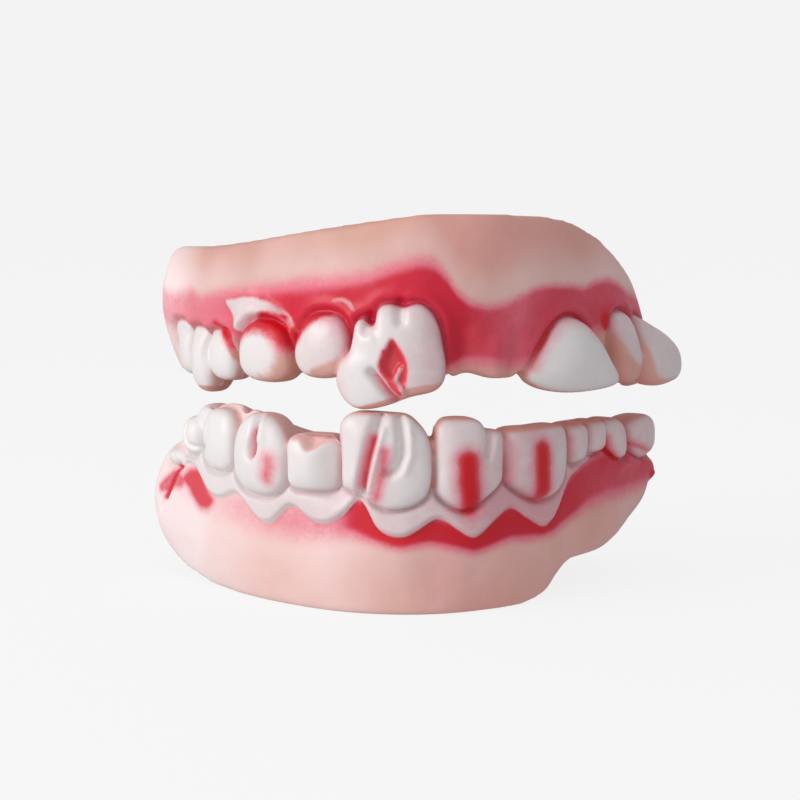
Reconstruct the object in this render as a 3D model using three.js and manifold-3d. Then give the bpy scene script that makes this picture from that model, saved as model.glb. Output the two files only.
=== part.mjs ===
// Costume false teeth: a lower and an upper row, each one soft rubber moulding of gum and teeth.
// Millimetres, +Z up. The wearer's front faces -Y, and +X is the right side seen from the front.
// Each moulding is a trough bent round a parabolic arch: the wearer's own teeth go in the channel.
// The lower row stands on its rim with its channel open downwards. The upper row rests on it.
//
// Shapes are set out along the arch before they are bent:
//   along  distance round the arch from its middle, negative on the left
//   out    distance from the gum's outer face, positive towards the lips
//   z      height above the surface that the lower row stands on
import * as THREE from 'three';
import { mergeVertices } from 'three/addons/utils/BufferGeometryUtils.js';
import Module from 'manifold-3d';

const wasm = await Module();
wasm.setup();

// The arch that both rows follow, at the gum's outer face
const ARCH = { halfWidth: 32.5, depth: 30, frontY: -17.1, halfLength: 48.5 };

// The trough's section: the channel is wider at its mouth than at its floor
const TROUGH = {
  thickness: 12.4,
  outerWall: 2.6,
  innerWall: 2.0,
  channelTaper: 0.5,
  endWall: 3.6,
  endRound: 5,
  endPinch: 0.8,
  mouthOvershoot: 4,
};

// How the gum's outer face rounds in at its rim and towards the biting side
const GUM_FACE = { rimTuck: 0.8, bitingTuck: 1.2, bulgeSkew: 0.75 };

// A tooth's root runs this far into the gum, and this is half of its thickness from lip to tongue
const TOOTH = { root: 1.5, halfThickness: 2.8, squareness: 0.62 };

// Facets
const FACETS = { along: 42, high: 6, across: 3, toothAround: 12, toothHigh: 8 };

// Each section of gum: rim and biting side heights at the lips and at the tongue, and the face's bulge
const LOWER = {
  name: 'lower_moulding',
  middleX: -2,
  channelFloor: 16.8,
  mouthSide: -1,
  skin: { color: '#e2b0a4', roughness: 0.5 },
  sections: [
    { along: -48.5, lipRim: 8.5, tongueRim: 4, lipBite: 17.6, tongueBite: 17.4, bulge: 1.4 },
    { along: -44.5, lipRim: 3.6, tongueRim: 2, lipBite: 18.4, tongueBite: 18, bulge: 1.4 },
    { along: -38, lipRim: 1.2, tongueRim: 0, lipBite: 20, tongueBite: 18.6, bulge: 1.2 },
    { along: -30, lipRim: 0, tongueRim: 0, lipBite: 22, tongueBite: 19, bulge: 0.9 },
    { along: -18, lipRim: 0, tongueRim: 0, lipBite: 21.8, tongueBite: 19, bulge: 0.7 },
    { along: -11, lipRim: 0, tongueRim: 0, lipBite: 21, tongueBite: 19, bulge: 0.6 },
    { along: 0, lipRim: 0, tongueRim: 0, lipBite: 22.6, tongueBite: 19, bulge: 0.6 },
    { along: 17, lipRim: 0, tongueRim: 0, lipBite: 21.6, tongueBite: 19, bulge: 0.7 },
    { along: 20.5, lipRim: 1, tongueRim: 0, lipBite: 21.4, tongueBite: 19, bulge: 0.8 },
    { along: 25, lipRim: 4.5, tongueRim: 0, lipBite: 21, tongueBite: 19, bulge: 0.9 },
    { along: 33, lipRim: 4.5, tongueRim: 0, lipBite: 20.6, tongueBite: 19, bulge: 1.1 },
    { along: 38, lipRim: 5.6, tongueRim: 0, lipBite: 20.4, tongueBite: 19, bulge: 1.2 },
    { along: 48.5, lipRim: 10, tongueRim: 4, lipBite: 20, tongueBite: 19, bulge: 1.2 },
  ],
  teeth: [
    { along: -39, neck: 13.8, tip: 17.8, neckWidth: 6.6, tipWidth: 6, proud: 1.6, lean: 0 },
    { along: -34, neck: 16.8, tip: 22.3, neckWidth: 4.4, tipWidth: 4.2, proud: 1.2, lean: 0 },
    { along: -32.6, neck: 18, tip: 24.2, neckWidth: 4.4, tipWidth: 4, proud: 0.2, lean: 0 },
    { along: -27.3, neck: 15.6, tip: 23.9, neckWidth: 6.9, tipWidth: 6.4, proud: 1.8, lean: 0 },
    { along: -19.5, neck: 13.2, tip: 23.7, neckWidth: 9.2, tipWidth: 8.2, proud: 2.2, lean: 0 },
    { along: -11.5, neck: 14.6, tip: 21.8, neckWidth: 6.6, tipWidth: 6.8, proud: 1.6, lean: 0 },
    { along: -6.4, neck: 14.4, tip: 24.6, neckWidth: 3.8, tipWidth: 4.4, proud: 1.9, lean: 0 },
    { along: -3.4, neck: 13, tip: 24.5, neckWidth: 3.4, tipWidth: 3.6, proud: 2.1, lean: 0 },
    { along: 0.2, neck: 12.6, tip: 24.5, neckWidth: 5.4, tipWidth: 5, proud: 2.2, lean: 0 },
    { along: 6.2, neck: 12.6, tip: 24.3, neckWidth: 7, tipWidth: 6.8, proud: 2.2, lean: 0 },
    { along: 10, neck: 13.6, tip: 22.7, neckWidth: 2.8, tipWidth: 3.2, proud: 1.6, lean: 0 },
    { along: 15.9, neck: 12.8, tip: 22.6, neckWidth: 8.6, tipWidth: 9.2, proud: 2.1, lean: 0 },
    { along: 23, neck: 16.4, tip: 22.3, neckWidth: 4.8, tipWidth: 4.8, proud: 1.3, lean: 0 },
    { along: 27.7, neck: 17.2, tip: 22, neckWidth: 4.4, tipWidth: 4.4, proud: 1.3, lean: 0 },
    { along: 33, neck: 16, tip: 21.8, neckWidth: 5.6, tipWidth: 6, proud: 1.5, lean: -1.2 },
    { along: 41.2, neck: 15.8, tip: 23.1, neckWidth: 8.6, tipWidth: 9, proud: 1.6, lean: 0 },
  ],
  // The chipped square tooth's notch
  chips: [{ along: -11.8, out: -0.5, z: 22.6, width: 3.6, thickness: 6, height: 4.4, lean: 0 }],
};

const UPPER = {
  name: 'upper_moulding',
  middleX: 0.4,
  channelFloor: 31.6,
  mouthSide: 1,
  skin: { color: '#dca899', roughness: 0.5 },
  sections: [
    { along: -48.5, lipRim: 41.4, tongueRim: 40, lipBite: 26.4, tongueBite: 28.8, bulge: 2.4 },
    { along: -44.5, lipRim: 42.6, tongueRim: 40.6, lipBite: 26.2, tongueBite: 28.8, bulge: 2.4 },
    { along: -35, lipRim: 43.2, tongueRim: 41.6, lipBite: 26.2, tongueBite: 28.8, bulge: 1.8 },
    { along: -27, lipRim: 44.1, tongueRim: 42.8, lipBite: 27.6, tongueBite: 29, bulge: 0.6 },
    { along: -19, lipRim: 45.3, tongueRim: 43.6, lipBite: 28, tongueBite: 29, bulge: 0.6 },
    { along: -9, lipRim: 46.8, tongueRim: 44.4, lipBite: 28, tongueBite: 29, bulge: 0.6 },
    { along: -1, lipRim: 47.9, tongueRim: 45, lipBite: 27.8, tongueBite: 29, bulge: 0.7 },
    { along: 10, lipRim: 47.8, tongueRim: 44.6, lipBite: 28.4, tongueBite: 29, bulge: 0.7 },
    { along: 15, lipRim: 47.1, tongueRim: 44, lipBite: 28, tongueBite: 29, bulge: 0.6 },
    { along: 20, lipRim: 45.9, tongueRim: 43.4, lipBite: 27.6, tongueBite: 29, bulge: 0.6 },
    { along: 26, lipRim: 43.5, tongueRim: 42, lipBite: 27.2, tongueBite: 28.8, bulge: 0.5 },
    { along: 35, lipRim: 38.5, tongueRim: 39, lipBite: 26.6, tongueBite: 28.6, bulge: 0.4 },
    { along: 38, lipRim: 35.6, tongueRim: 37.6, lipBite: 26.4, tongueBite: 28.6, bulge: 0.3 },
    { along: 48.5, lipRim: 33.6, tongueRim: 36, lipBite: 26.2, tongueBite: 28.6, bulge: 0.3 },
  ],
  teeth: [
    { along: -39.8, neck: 33.2, tip: 25.6, neckWidth: 5, tipWidth: 5.2, proud: 1.2, lean: 0 },
    { along: -35.2, neck: 33, tip: 24.35, neckWidth: 4.8, tipWidth: 5, proud: 1.5, lean: 0 },
    { along: -30.4, neck: 32.7, tip: 26.5, neckWidth: 5.8, tipWidth: 5.4, proud: 1.5, lean: 0 },
    { along: -22.7, neck: 35.4, tip: 27, neckWidth: 9, tipWidth: 9.2, proud: 2.2, lean: 0 },
    { along: -13.4, neck: 36.6, tip: 28, neckWidth: 7.4, tipWidth: 7.8, proud: 2.2, lean: 0 },
    { along: -7.4, neck: 35, tip: 24.8, neckWidth: 4.4, tipWidth: 7.4, proud: 2.2, lean: -0.6 },
    { along: -3.8, neck: 37.3, tip: 25.8, neckWidth: 4.8, tipWidth: 5, proud: 2.4, lean: 0 },
    { along: -0.6, neck: 37, tip: 26.6, neckWidth: 4.6, tipWidth: 4.6, proud: 2.2, lean: 0 },
    { along: 19, neck: 34.8, tip: 26.1, neckWidth: 6, tipWidth: 17.4, proud: 2.3, lean: 1 },
    { along: 30, neck: 35.4, tip: 27.2, neckWidth: 5.4, tipWidth: 5.4, proud: 1.6, lean: 4 },
    { along: 41, neck: 33.6, tip: 24.9, neckWidth: 9, tipWidth: 12.6, proud: 2, lean: 1, flare: 2.6 },
    { along: 41.4, neck: 31, tip: 23.3, neckWidth: 8.6, tipWidth: 8.4, proud: -0.6, lean: 0 },
  ],
  // The split through the broken front tooth
  chips: [{ along: -4, out: 2.6, z: 29.4, width: 2.6, thickness: 3, height: 8.4, lean: 14 }],
};

// Distance round the arch is tabled against distance from its middle, in this many steps
const ARCH_STEPS = 400;
const archTable = makeArchTable();

/** Arc lengths of the parabola at even steps of x, out past the ends of the rows. */
function makeArchTable() {
  const reach = ARCH.halfWidth * 1.25;
  const table = [{ x: 0, length: 0 }];
  for (let i = 1; i <= ARCH_STEPS; i++) {
    const x = (reach * i) / ARCH_STEPS;
    const before = table[i - 1];
    const rise = archDepth(x) - archDepth(before.x);
    table.push({ x, length: before.length + Math.hypot(x - before.x, rise) });
  }
  return table;
}

/** How far the arch has gone back at a distance x from its middle. */
function archDepth(x) {
  return ARCH.depth * (x / ARCH.halfWidth) ** 2;
}

/** A place along, out and up from the arch, as a point of the row whose middle is at middleX. */
function bend(along, out, z, middleX) {
  const length = Math.abs(along);
  const last = archTable.findIndex((step) => step.length >= length);
  const [a, b] = [archTable[Math.max(last - 1, 0)], archTable[last]];
  const share = last === 0 ? 0 : (length - a.length) / (b.length - a.length);
  const x = THREE.MathUtils.lerp(a.x, b.x, share);
  const slope = (2 * archDepth(x)) / Math.max(x, 1e-9);
  const outward = new THREE.Vector2(slope, -1).normalize();
  const side = along < 0 ? -1 : 1;
  return new THREE.Vector3(
    middleX + side * (x + out * outward.x),
    ARCH.frontY + archDepth(x) + out * outward.y,
    z,
  );
}

/** A column of the section table at a place along the arch. */
function sectionAt(sections, along, column) {
  const next = sections.findIndex((row) => row.along >= along);
  if (next <= 0) return sections[next === 0 ? 0 : sections.length - 1][column];
  const [a, b] = [sections[next - 1], sections[next]];
  return THREE.MathUtils.mapLinear(along, a.along, b.along, a[column], b[column]);
}

/** Moves each vertex of a geometry, leaving only merged positions. */
function shape(geometry, place) {
  geometry.deleteAttribute('normal');
  geometry.deleteAttribute('uv');
  const merged = mergeVertices(geometry);
  const position = merged.getAttribute('position');
  const vertex = new THREE.Vector3();
  for (let i = 0; i < position.count; i++) {
    vertex.fromBufferAttribute(position, i);
    const moved = place(vertex);
    position.setXYZ(i, moved.x, moved.y, moved.z);
  }
  return merged;
}

/** A closed geometry as a solid that can be joined and cut. */
function solidOf(geometry) {
  const mesh = new wasm.Mesh({
    numProp: 3,
    vertProperties: new Float32Array(geometry.getAttribute('position').array),
    triVerts: new Uint32Array(geometry.getIndex().array),
  });
  const solid = new wasm.Manifold(mesh);
  if (solid.volume() > 0) return solid;
  for (let i = 0; i < mesh.triVerts.length; i += 3) {
    const kept = mesh.triVerts[i + 1];
    mesh.triVerts[i + 1] = mesh.triVerts[i + 2];
    mesh.triVerts[i + 2] = kept;
  }
  return new wasm.Manifold(mesh);
}

/** A joined or cut solid as a geometry again. */
function geometryOf(solid) {
  const mesh = solid.getMesh();
  const geometry = new THREE.BufferGeometry();
  geometry.setAttribute('position', new THREE.BufferAttribute(mesh.vertProperties, 3));
  geometry.setIndex(new THREE.BufferAttribute(mesh.triVerts, 1));
  geometry.computeVertexNormals();
  return geometry;
}

/** How far the gum's outer face stands out, at a share of the way up from its rim to its biting side. */
function faceOut(share, bulge) {
  const swell = bulge * Math.sin(Math.PI * share ** GUM_FACE.bulgeSkew);
  return swell - GUM_FACE.rimTuck * (1 - share) ** 3 - GUM_FACE.bitingTuck * share ** 3;
}

/** How much the bar draws in towards its middle as it rounds off at an end: 0 is not at all. */
function endPinch(along) {
  const past = Math.abs(along) - ARCH.halfLength + TROUGH.endRound;
  const share = THREE.MathUtils.clamp(past / TROUGH.endRound, 0, 1);
  return 1 - Math.sqrt(1 - TROUGH.endPinch * share ** 2);
}

/** The gum as a solid bar bent round the arch, from its rim to its biting side. */
function gumBar(row) {
  const box = new THREE.BoxGeometry(1, 1, 1, FACETS.along, FACETS.across, FACETS.high);
  return solidOf(shape(box, (vertex) => {
    const along = 2 * ARCH.halfLength * vertex.x;
    const inward = vertex.y + 0.5;
    const share = vertex.z + 0.5;
    const column = (name) => sectionAt(row.sections, along, name);
    const rim = THREE.MathUtils.lerp(column('lipRim'), column('tongueRim'), inward);
    const bite = THREE.MathUtils.lerp(column('lipBite'), column('tongueBite'), inward);
    const lips = faceOut(share, column('bulge'));
    const middle = (lips - TROUGH.thickness) / 2;
    const full = THREE.MathUtils.lerp(lips, -TROUGH.thickness, inward);
    const out = THREE.MathUtils.lerp(full, middle, endPinch(along));
    return bend(along, out, THREE.MathUtils.lerp(rim, bite, share), row.middleX);
  }));
}

/** The space that the wearer's own teeth fill, open past the rim, with a flat floor. */
function channel(row) {
  const box = new THREE.BoxGeometry(1, 1, 1, FACETS.along, 1, 1);
  const reach = ARCH.halfLength - TROUGH.endWall;
  return solidOf(shape(box, (vertex) => {
    const along = 2 * reach * vertex.x;
    const atFloor = vertex.z < 0 ? 0 : 1;
    const taper = atFloor * TROUGH.channelTaper;
    const lips = -TROUGH.outerWall - taper;
    const tongue = TROUGH.innerWall + taper - TROUGH.thickness;
    const rim = row.mouthSide < 0 ? 0 : sectionAt(row.sections, 0, 'lipRim');
    const mouth = rim + row.mouthSide * TROUGH.mouthOvershoot;
    const out = vertex.y < 0 ? lips : tongue;
    return bend(along, out, atFloor ? row.channelFloor : mouth, row.middleX);
  }));
}

/** A number between -1 and 1 pushed towards the ends, which squares a ball off. */
function squared(value) {
  return Math.sign(value) * Math.abs(value) ** TOOTH.squareness;
}

/** One tooth, or one lobe of a tooth: a squared ball from its root in the gum to its tip. */
function tooth(row, size) {
  const ball = new THREE.SphereGeometry(1, FACETS.toothAround, FACETS.toothHigh);
  ball.rotateX(Math.PI / 2);
  const root = size.neck + row.mouthSide * TOOTH.root;
  return solidOf(shape(ball, (vertex) => {
    const share = (1 - row.mouthSide * squared(vertex.z)) / 2;
    const width = THREE.MathUtils.lerp(size.neckWidth, size.tipWidth, share);
    const along = size.along + size.lean * (share - 0.5) + squared(vertex.x) * (width / 2);
    const lips = size.proud + (size.flare ?? 0) * (share - 0.5);
    const out = lips - TOOTH.halfThickness * (1 + squared(vertex.y));
    return bend(along, out, THREE.MathUtils.lerp(root, size.tip, share), row.middleX);
  }));
}

/** The diamond that a chip or split takes out of a tooth. */
function chip(row, size) {
  const diamond = new THREE.OctahedronGeometry(0.5);
  diamond.scale(size.width, size.thickness, size.height);
  diamond.rotateY(THREE.MathUtils.degToRad(size.lean));
  return solidOf(shape(diamond, (vertex) => bend(
    size.along + vertex.x,
    size.out - vertex.y,
    size.z + vertex.z,
    row.middleX,
  )));
}

/** One whole row: gum and teeth in one piece, hollowed by its channel. */
function moulding(row) {
  let solid = gumBar(row);
  for (const size of row.teeth) solid = solid.add(tooth(row, size));
  for (const size of row.chips) solid = solid.subtract(chip(row, size));
  solid = solid.subtract(channel(row));
  const material = new THREE.MeshStandardMaterial({ ...row.skin, metalness: 0 });
  const mesh = new THREE.Mesh(geometryOf(solid), material);
  mesh.name = row.name;
  return mesh;
}

const falseTeeth = new THREE.Group();
falseTeeth.name = 'costume_false_teeth';
falseTeeth.add(moulding(LOWER), moulding(UPPER));

export default falseTeeth;
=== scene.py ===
"""Looks of the costume false teeth: two rows of soft rubber gum and teeth, painted by hand.

Each row is modelled straight and in millimetres, then bent round its arch and brought to metres.
While a row is straight, x runs along the arch from its middle, -y points out to the lips and z is up.
"""

import logging
import math
from dataclasses import dataclass
from enum import Enum
from typing import Any

import bpy
import numpy as np
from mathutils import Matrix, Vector, noise

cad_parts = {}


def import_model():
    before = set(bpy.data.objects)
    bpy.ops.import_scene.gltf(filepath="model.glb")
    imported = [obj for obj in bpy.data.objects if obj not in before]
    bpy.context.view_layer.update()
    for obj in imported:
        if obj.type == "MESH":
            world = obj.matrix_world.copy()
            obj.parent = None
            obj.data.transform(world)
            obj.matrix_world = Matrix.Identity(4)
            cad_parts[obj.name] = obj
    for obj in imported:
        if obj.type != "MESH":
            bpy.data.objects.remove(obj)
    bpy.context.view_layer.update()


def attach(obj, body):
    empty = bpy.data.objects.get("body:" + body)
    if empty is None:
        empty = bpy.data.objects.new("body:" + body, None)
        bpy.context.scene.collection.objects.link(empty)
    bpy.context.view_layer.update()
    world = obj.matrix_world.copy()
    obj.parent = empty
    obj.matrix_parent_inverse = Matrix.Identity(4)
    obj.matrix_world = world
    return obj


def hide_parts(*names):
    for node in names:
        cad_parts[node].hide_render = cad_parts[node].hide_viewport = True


log = logging.getLogger("false_teeth")

# A millimetre in metres, the limits of distances, and how finely tables and outlines are cut
MM = 0.001
FAR = 4.0
TINY = 1e-12
TABLE_STEP = 0.1
TABLE_SPARE = 10.0
OUTLINE_CORNERS = 16

# The name of the body on the frame
BODY = "root"

Array = np.ndarray
Range = tuple[float, float]
Point = tuple[float, float]
Line = tuple[Point, ...]
Colour = tuple[float, float, float, float]


class Side(Enum):
    """Which row a moulding is: the value is the way its channel opens, up or down."""

    UPPER = 1
    LOWER = -1


def ease(low: Any, high: Any, value: Array) -> Array:
    """Smooth step of a value from 0 at low to 1 at high.

    Args:
        low: Where the step starts, a number or an array.
        high: Where the step ends, a number or an array.
        value: The values to step.

    Returns:
        Numbers from 0 to 1.
    """
    share = np.clip((value - low) / (high - low), 0.0, 1.0)
    return share * share * (3.0 - 2.0 * share)


def bell(value: Array, width: float) -> Array:
    """A rounded hump of height 1 at value 0."""
    return np.exp(-((value / width) ** 2))


def table_of(rows: tuple[Any, ...], name: str) -> Line:
    """One named column of a table whose rows each have a place along the arch."""
    return tuple((row.along, getattr(row, name)) for row in rows)


def rounded_table(table: Line, at: Array, round_by: float) -> Array:
    """Reads a table of heights with its corners rounded off.

    Args:
        table: Places, rising, and the height at each.
        at: Where heights are wanted.
        round_by: How wide the rounding of a corner is.

    Returns:
        A height for each place wanted.
    """
    places, heights = np.array(table, float).T
    fine = np.arange(places[0] - TABLE_SPARE, places[-1] + TABLE_SPARE, TABLE_STEP)
    straight = np.interp(fine, places, heights)
    width = max(1, int(round_by / TABLE_STEP))
    window = np.hanning(2 * width + 3)[1:-1]
    padded = np.pad(straight, width, mode="edge")
    return np.interp(at, fine, np.convolve(padded, window / window.sum(), mode="valid"))


def closed_curve(points: Line, steps: int = 5) -> Array:
    """A smooth closed loop through the given points.

    Args:
        points: The places that the loop passes through.
        steps: Pieces between two places.

    Returns:
        The loop as rows of two numbers.
    """
    knots = np.array(points, float)
    before, after, beyond = (np.roll(knots, shift, axis=0) for shift in (1, -1, -2))
    slope = after - before
    bend = 2 * before - 5 * knots + 4 * after - beyond
    twist = 3 * knots - before - 3 * after + beyond
    shares = np.arange(steps) / steps
    rows = [0.5 * (2 * knots + slope * share + bend * share**2 + twist * share**3) for share in shares]
    return np.stack(rows, axis=1).reshape(-1, 2)


def edge_gap(places: Array, start: Array, end: Array) -> Array:
    """How far each place is from a straight run between two ends."""
    edge, offset = end - start, places - start
    share = np.clip(offset @ edge / max(edge @ edge, TINY), 0.0, 1.0)
    return np.linalg.norm(offset - share[:, None] * edge, axis=1)


def inside_distance(places: Array, loop: Array) -> Array:
    """How far each place is inside a loop.

    Args:
        places: Rows of two numbers.
        loop: The closed loop's corners.

    Returns:
        Distances, negative outside the loop and no lower than -FAR.
    """
    result = np.full(len(places), -FAR)
    near = np.all((places > loop.min(0) - FAR) & (places < loop.max(0) + FAR), axis=1)
    spots = places[near]
    nearest = np.full(len(spots), FAR)
    within = np.zeros(len(spots), bool)
    for start, end in zip(loop, np.roll(loop, -1, axis=0)):
        nearest = np.minimum(nearest, edge_gap(spots, start, end))
        run, rise = end - start
        if abs(rise) > TINY:
            crossing = start[0] + (spots[:, 1] - start[1]) * run / rise
            level = (start[1] > spots[:, 1]) != (end[1] > spots[:, 1])
            within ^= level & (spots[:, 0] < crossing)
    result[near] = np.where(within, nearest, -nearest)
    return result


def path_distance(places: Array, path: Line) -> Array:
    """How far each place is from an open path of straight runs, up to FAR."""
    knots = np.array(path, float)
    gaps = [edge_gap(places, start, end) for start, end in zip(knots[:-1], knots[1:])]
    return np.minimum(FAR, np.min(gaps, axis=0))


def rounded_outline(
    middle: float,
    neck: float,
    tip: float,
    neck_width: float,
    tip_width: float,
    lean: float = 0.0,
    square: float = 0.62,
) -> Line:
    """The outline of a plain tooth seen from the front.

    Args:
        middle: Where its middle is along the arch.
        neck: Height of its neck at the gum.
        tip: Height of its biting edge.
        neck_width: Width towards the neck.
        tip_width: Width towards the biting edge.
        lean: How far the tip is moved along the arch from the neck.
        square: 1 gives an oval and less squares it off.

    Returns:
        The outline's corners.
    """
    points = []
    for step in range(OUTLINE_CORNERS):
        angle = 2 * math.pi * (step + 0.5) / OUTLINE_CORNERS
        across = math.copysign(abs(math.cos(angle)) ** square, math.cos(angle))
        share = (1 + math.copysign(abs(math.sin(angle)) ** square, math.sin(angle))) / 2
        width = neck_width + (tip_width - neck_width) * share
        along = middle + lean * (share - 0.5) + across * width / 2
        points.append((along, neck + (tip - neck) * share))
    return tuple(points)


def select_only(thing: bpy.types.Object) -> None:
    """Makes one object the only selected one, and the active one."""
    bpy.ops.object.select_all(action="DESELECT")
    thing.select_set(True)
    bpy.context.view_layer.objects.active = thing


def read_points(thing: bpy.types.Object, what: str = "co") -> Array:
    """Vertex positions, or normals, of a mesh as rows of three numbers."""
    flat = np.empty(len(thing.data.vertices) * 3, np.float32)
    thing.data.vertices.foreach_get(what, flat)
    return flat.reshape(-1, 3).astype(float)


def write_points(thing: bpy.types.Object, points: Array) -> None:
    """Moves a mesh's vertices to the given positions."""
    thing.data.vertices.foreach_set("co", points.astype(np.float32).ravel())
    thing.data.update()


def apply_modifier(thing: bpy.types.Object, kind: str, **settings: Any) -> None:
    """Adds a modifier with its settings and applies it.

    Args:
        thing: The mesh object to work on.
        kind: The modifier's type.
        settings: Its settings by name.
    """
    select_only(thing)
    modifier = thing.modifiers.new(kind.lower(), kind)
    for name, value in settings.items():
        setattr(modifier, name, value)
    bpy.ops.object.modifier_apply(modifier=modifier.name)


def rub_smooth(thing: bpy.types.Object, strength: float, passes: int) -> None:
    """Rubs a mesh smooth."""
    apply_modifier(thing, "SMOOTH", factor=strength, iterations=passes)


def cut_cube(cuts: int) -> bpy.types.Object:
    """A unit cube with every face cut into a grid."""
    bpy.ops.object.select_all(action="DESELECT")
    bpy.ops.mesh.primitive_cube_add(size=1.0)
    bpy.ops.object.mode_set(mode="EDIT")
    bpy.ops.mesh.select_all(action="SELECT")
    bpy.ops.mesh.subdivide(number_cuts=cuts)
    bpy.ops.object.mode_set(mode="OBJECT")
    return bpy.context.object


@dataclass(frozen=True)
class Arch:
    """The parabola that both rows follow at the gum's outer face, and the table that measures along it."""

    half_width: float = 32.5
    depth: float = 30.0
    front_y: float = -17.1
    half_length: float = 48.5
    table_reach: float = 1.4
    table_steps: int = 4000

    def bend(self, points: Array, middle_x: float) -> Array:
        """Bends straight points round the arch.

        Args:
            points: Rows of along, inward and up.
            middle_x: Where the row's middle is.

        Returns:
            Rows of x, y and z, still in millimetres.
        """
        table_x = np.linspace(0.0, self.half_width * self.table_reach, self.table_steps)
        table_y = self.depth * (table_x / self.half_width) ** 2
        lengths = np.concatenate([[0.0], np.cumsum(np.hypot(np.diff(table_x), np.diff(table_y)))])
        x = np.interp(np.abs(points[:, 0]), lengths, table_x)
        slope = 2 * self.depth * x / self.half_width**2
        scale = 1 / np.hypot(slope, 1.0)
        out = -points[:, 1]
        side = np.where(points[:, 0] < 0, -1.0, 1.0)
        bent = np.empty_like(points)
        bent[:, 0] = middle_x + side * (x + out * slope * scale)
        bent[:, 1] = self.front_y + self.depth * (x / self.half_width) ** 2 - out * scale
        bent[:, 2] = points[:, 2]
        return bent


@dataclass(frozen=True)
class Section:
    """Heights of the gum at one place along the arch, and how far its face bulges."""

    along: float
    lip_rim: float
    tongue_rim: float
    lip_bite: float
    tongue_bite: float
    bulge: float


@dataclass(frozen=True)
class Tooth:
    """One tooth: its outline from the front and how it stands in the gum.

    proud is how far its face stands out, flat how flat that face is, flare how much further its tip leans
    out and turn how much further its right edge stands out. margin is the strength of the gum's roll round
    its neck and furrow the depth of the line beside it. white is the painted part where that isn't the
    whole face and soft how far it fades out, bare the strip along the biting edge that the brush left out
    and blush the red that drifted onto the neck.
    """

    name: str
    outline: Line
    proud: float
    flat: float = 0.31
    flare: float = 0.0
    turn: float = 0.0
    margin: float = 0.0
    furrow: float = 0.5
    white: Line = ()
    soft: float = 1.0
    bare: float = 0.6
    blush: float = 0.0


@dataclass(frozen=True)
class Carving:
    """A groove or a ridge along a path on the teeth or gum: depth is negative for a groove."""

    path: Line
    width: float
    depth: float

    def lift(self, places: Array) -> Array:
        """How far it raises each place."""
        return self.depth * bell(path_distance(places, self.path), self.width)


@dataclass(frozen=True)
class Chip:
    """A broken place in a tooth's face: it starts at edge and is at its depth at slope inside its outline."""

    outline: Line
    depth: float
    slope: float
    edge: float = -0.1

    def lift(self, places: Array) -> Array:
        """How far it raises each place."""
        sunk = inside_distance(places, closed_curve(self.outline))
        return -self.depth * ease(self.edge, self.slope, sunk)


@dataclass(frozen=True)
class Stroke:
    """A dab of red paint along a path: half its width, how soft its edge is and how thick it lies."""

    path: Line
    half_width: float
    soft: float
    strength: float

    def cover(self, places: Array) -> Array:
        """How thick it lies at each place."""
        gap = path_distance(places, self.path) - self.half_width
        return self.strength * (1 - ease(-self.soft, self.soft, gap))


@dataclass(frozen=True)
class Patch:
    """A place filled with red paint: how soft its edge is and how thick it lies."""

    outline: Line
    soft: float
    strength: float

    def cover(self, places: Array) -> Array:
        """How thick it lies at each place."""
        depth = inside_distance(places, closed_curve(self.outline))
        return self.strength * ease(-self.soft, self.soft, depth)


@dataclass(frozen=True)
class Band:
    """The sprayed red at one place: where it fades out, where it stops, how soft and how strong it is."""

    along: float
    fade: float
    stop: float
    soft: float
    strength: float


@dataclass(frozen=True)
class Mould:
    """Sizes of the bar of gum, of the channel in it and of the teeth's roots, in millimetres.

    Each tuck draws the lip face in towards that edge, and tuck_power says how close to it. rim_spare makes
    up for what is rubbed off the rim. channel_ends are the heights past the rims where the two cores end.
    """

    thickness: float = 12.4
    outer_wall: float = 2.6
    inner_wall: float = 2.0
    section_round: float = 2.0
    bulge_skew: float = 0.75
    rim_tuck: float = 0.8
    biting_tuck: float = 1.2
    tuck_power: int = 3
    rim_spare: float = 0.02
    end_wall: float = 3.6
    end_round: float = 5.0
    end_pinch: float = 0.8
    channel_taper: float = 0.5
    channel_ends: Range = (-4.0, 52.0)
    floor_web: float = 2.2
    tooth_half_thickness: float = 2.8
    root_step: Range = (-0.6, 0.4)
    root_cover: float = 0.5


@dataclass(frozen=True)
class Clay:
    """How finely a row's mesh is cut, and where it is worked and so keeps all its triangles."""

    bar_cuts: int = 71
    core_cuts: int = 31
    ball_segments: int = 72
    ball_rings: int = 36
    shell_voxel: float = 0.45
    shell_rub: tuple[float, int] = (0.5, 14)
    voxel: float = 0.27
    joined_rub: tuple[float, int] = (0.5, 2)
    worked_rub: tuple[float, int] = (0.4, 1)
    worked_out: float = -2.4
    worked_tilt: float = 0.2
    worked_height: float = 10.0
    kept_share: float = 0.64


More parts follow.
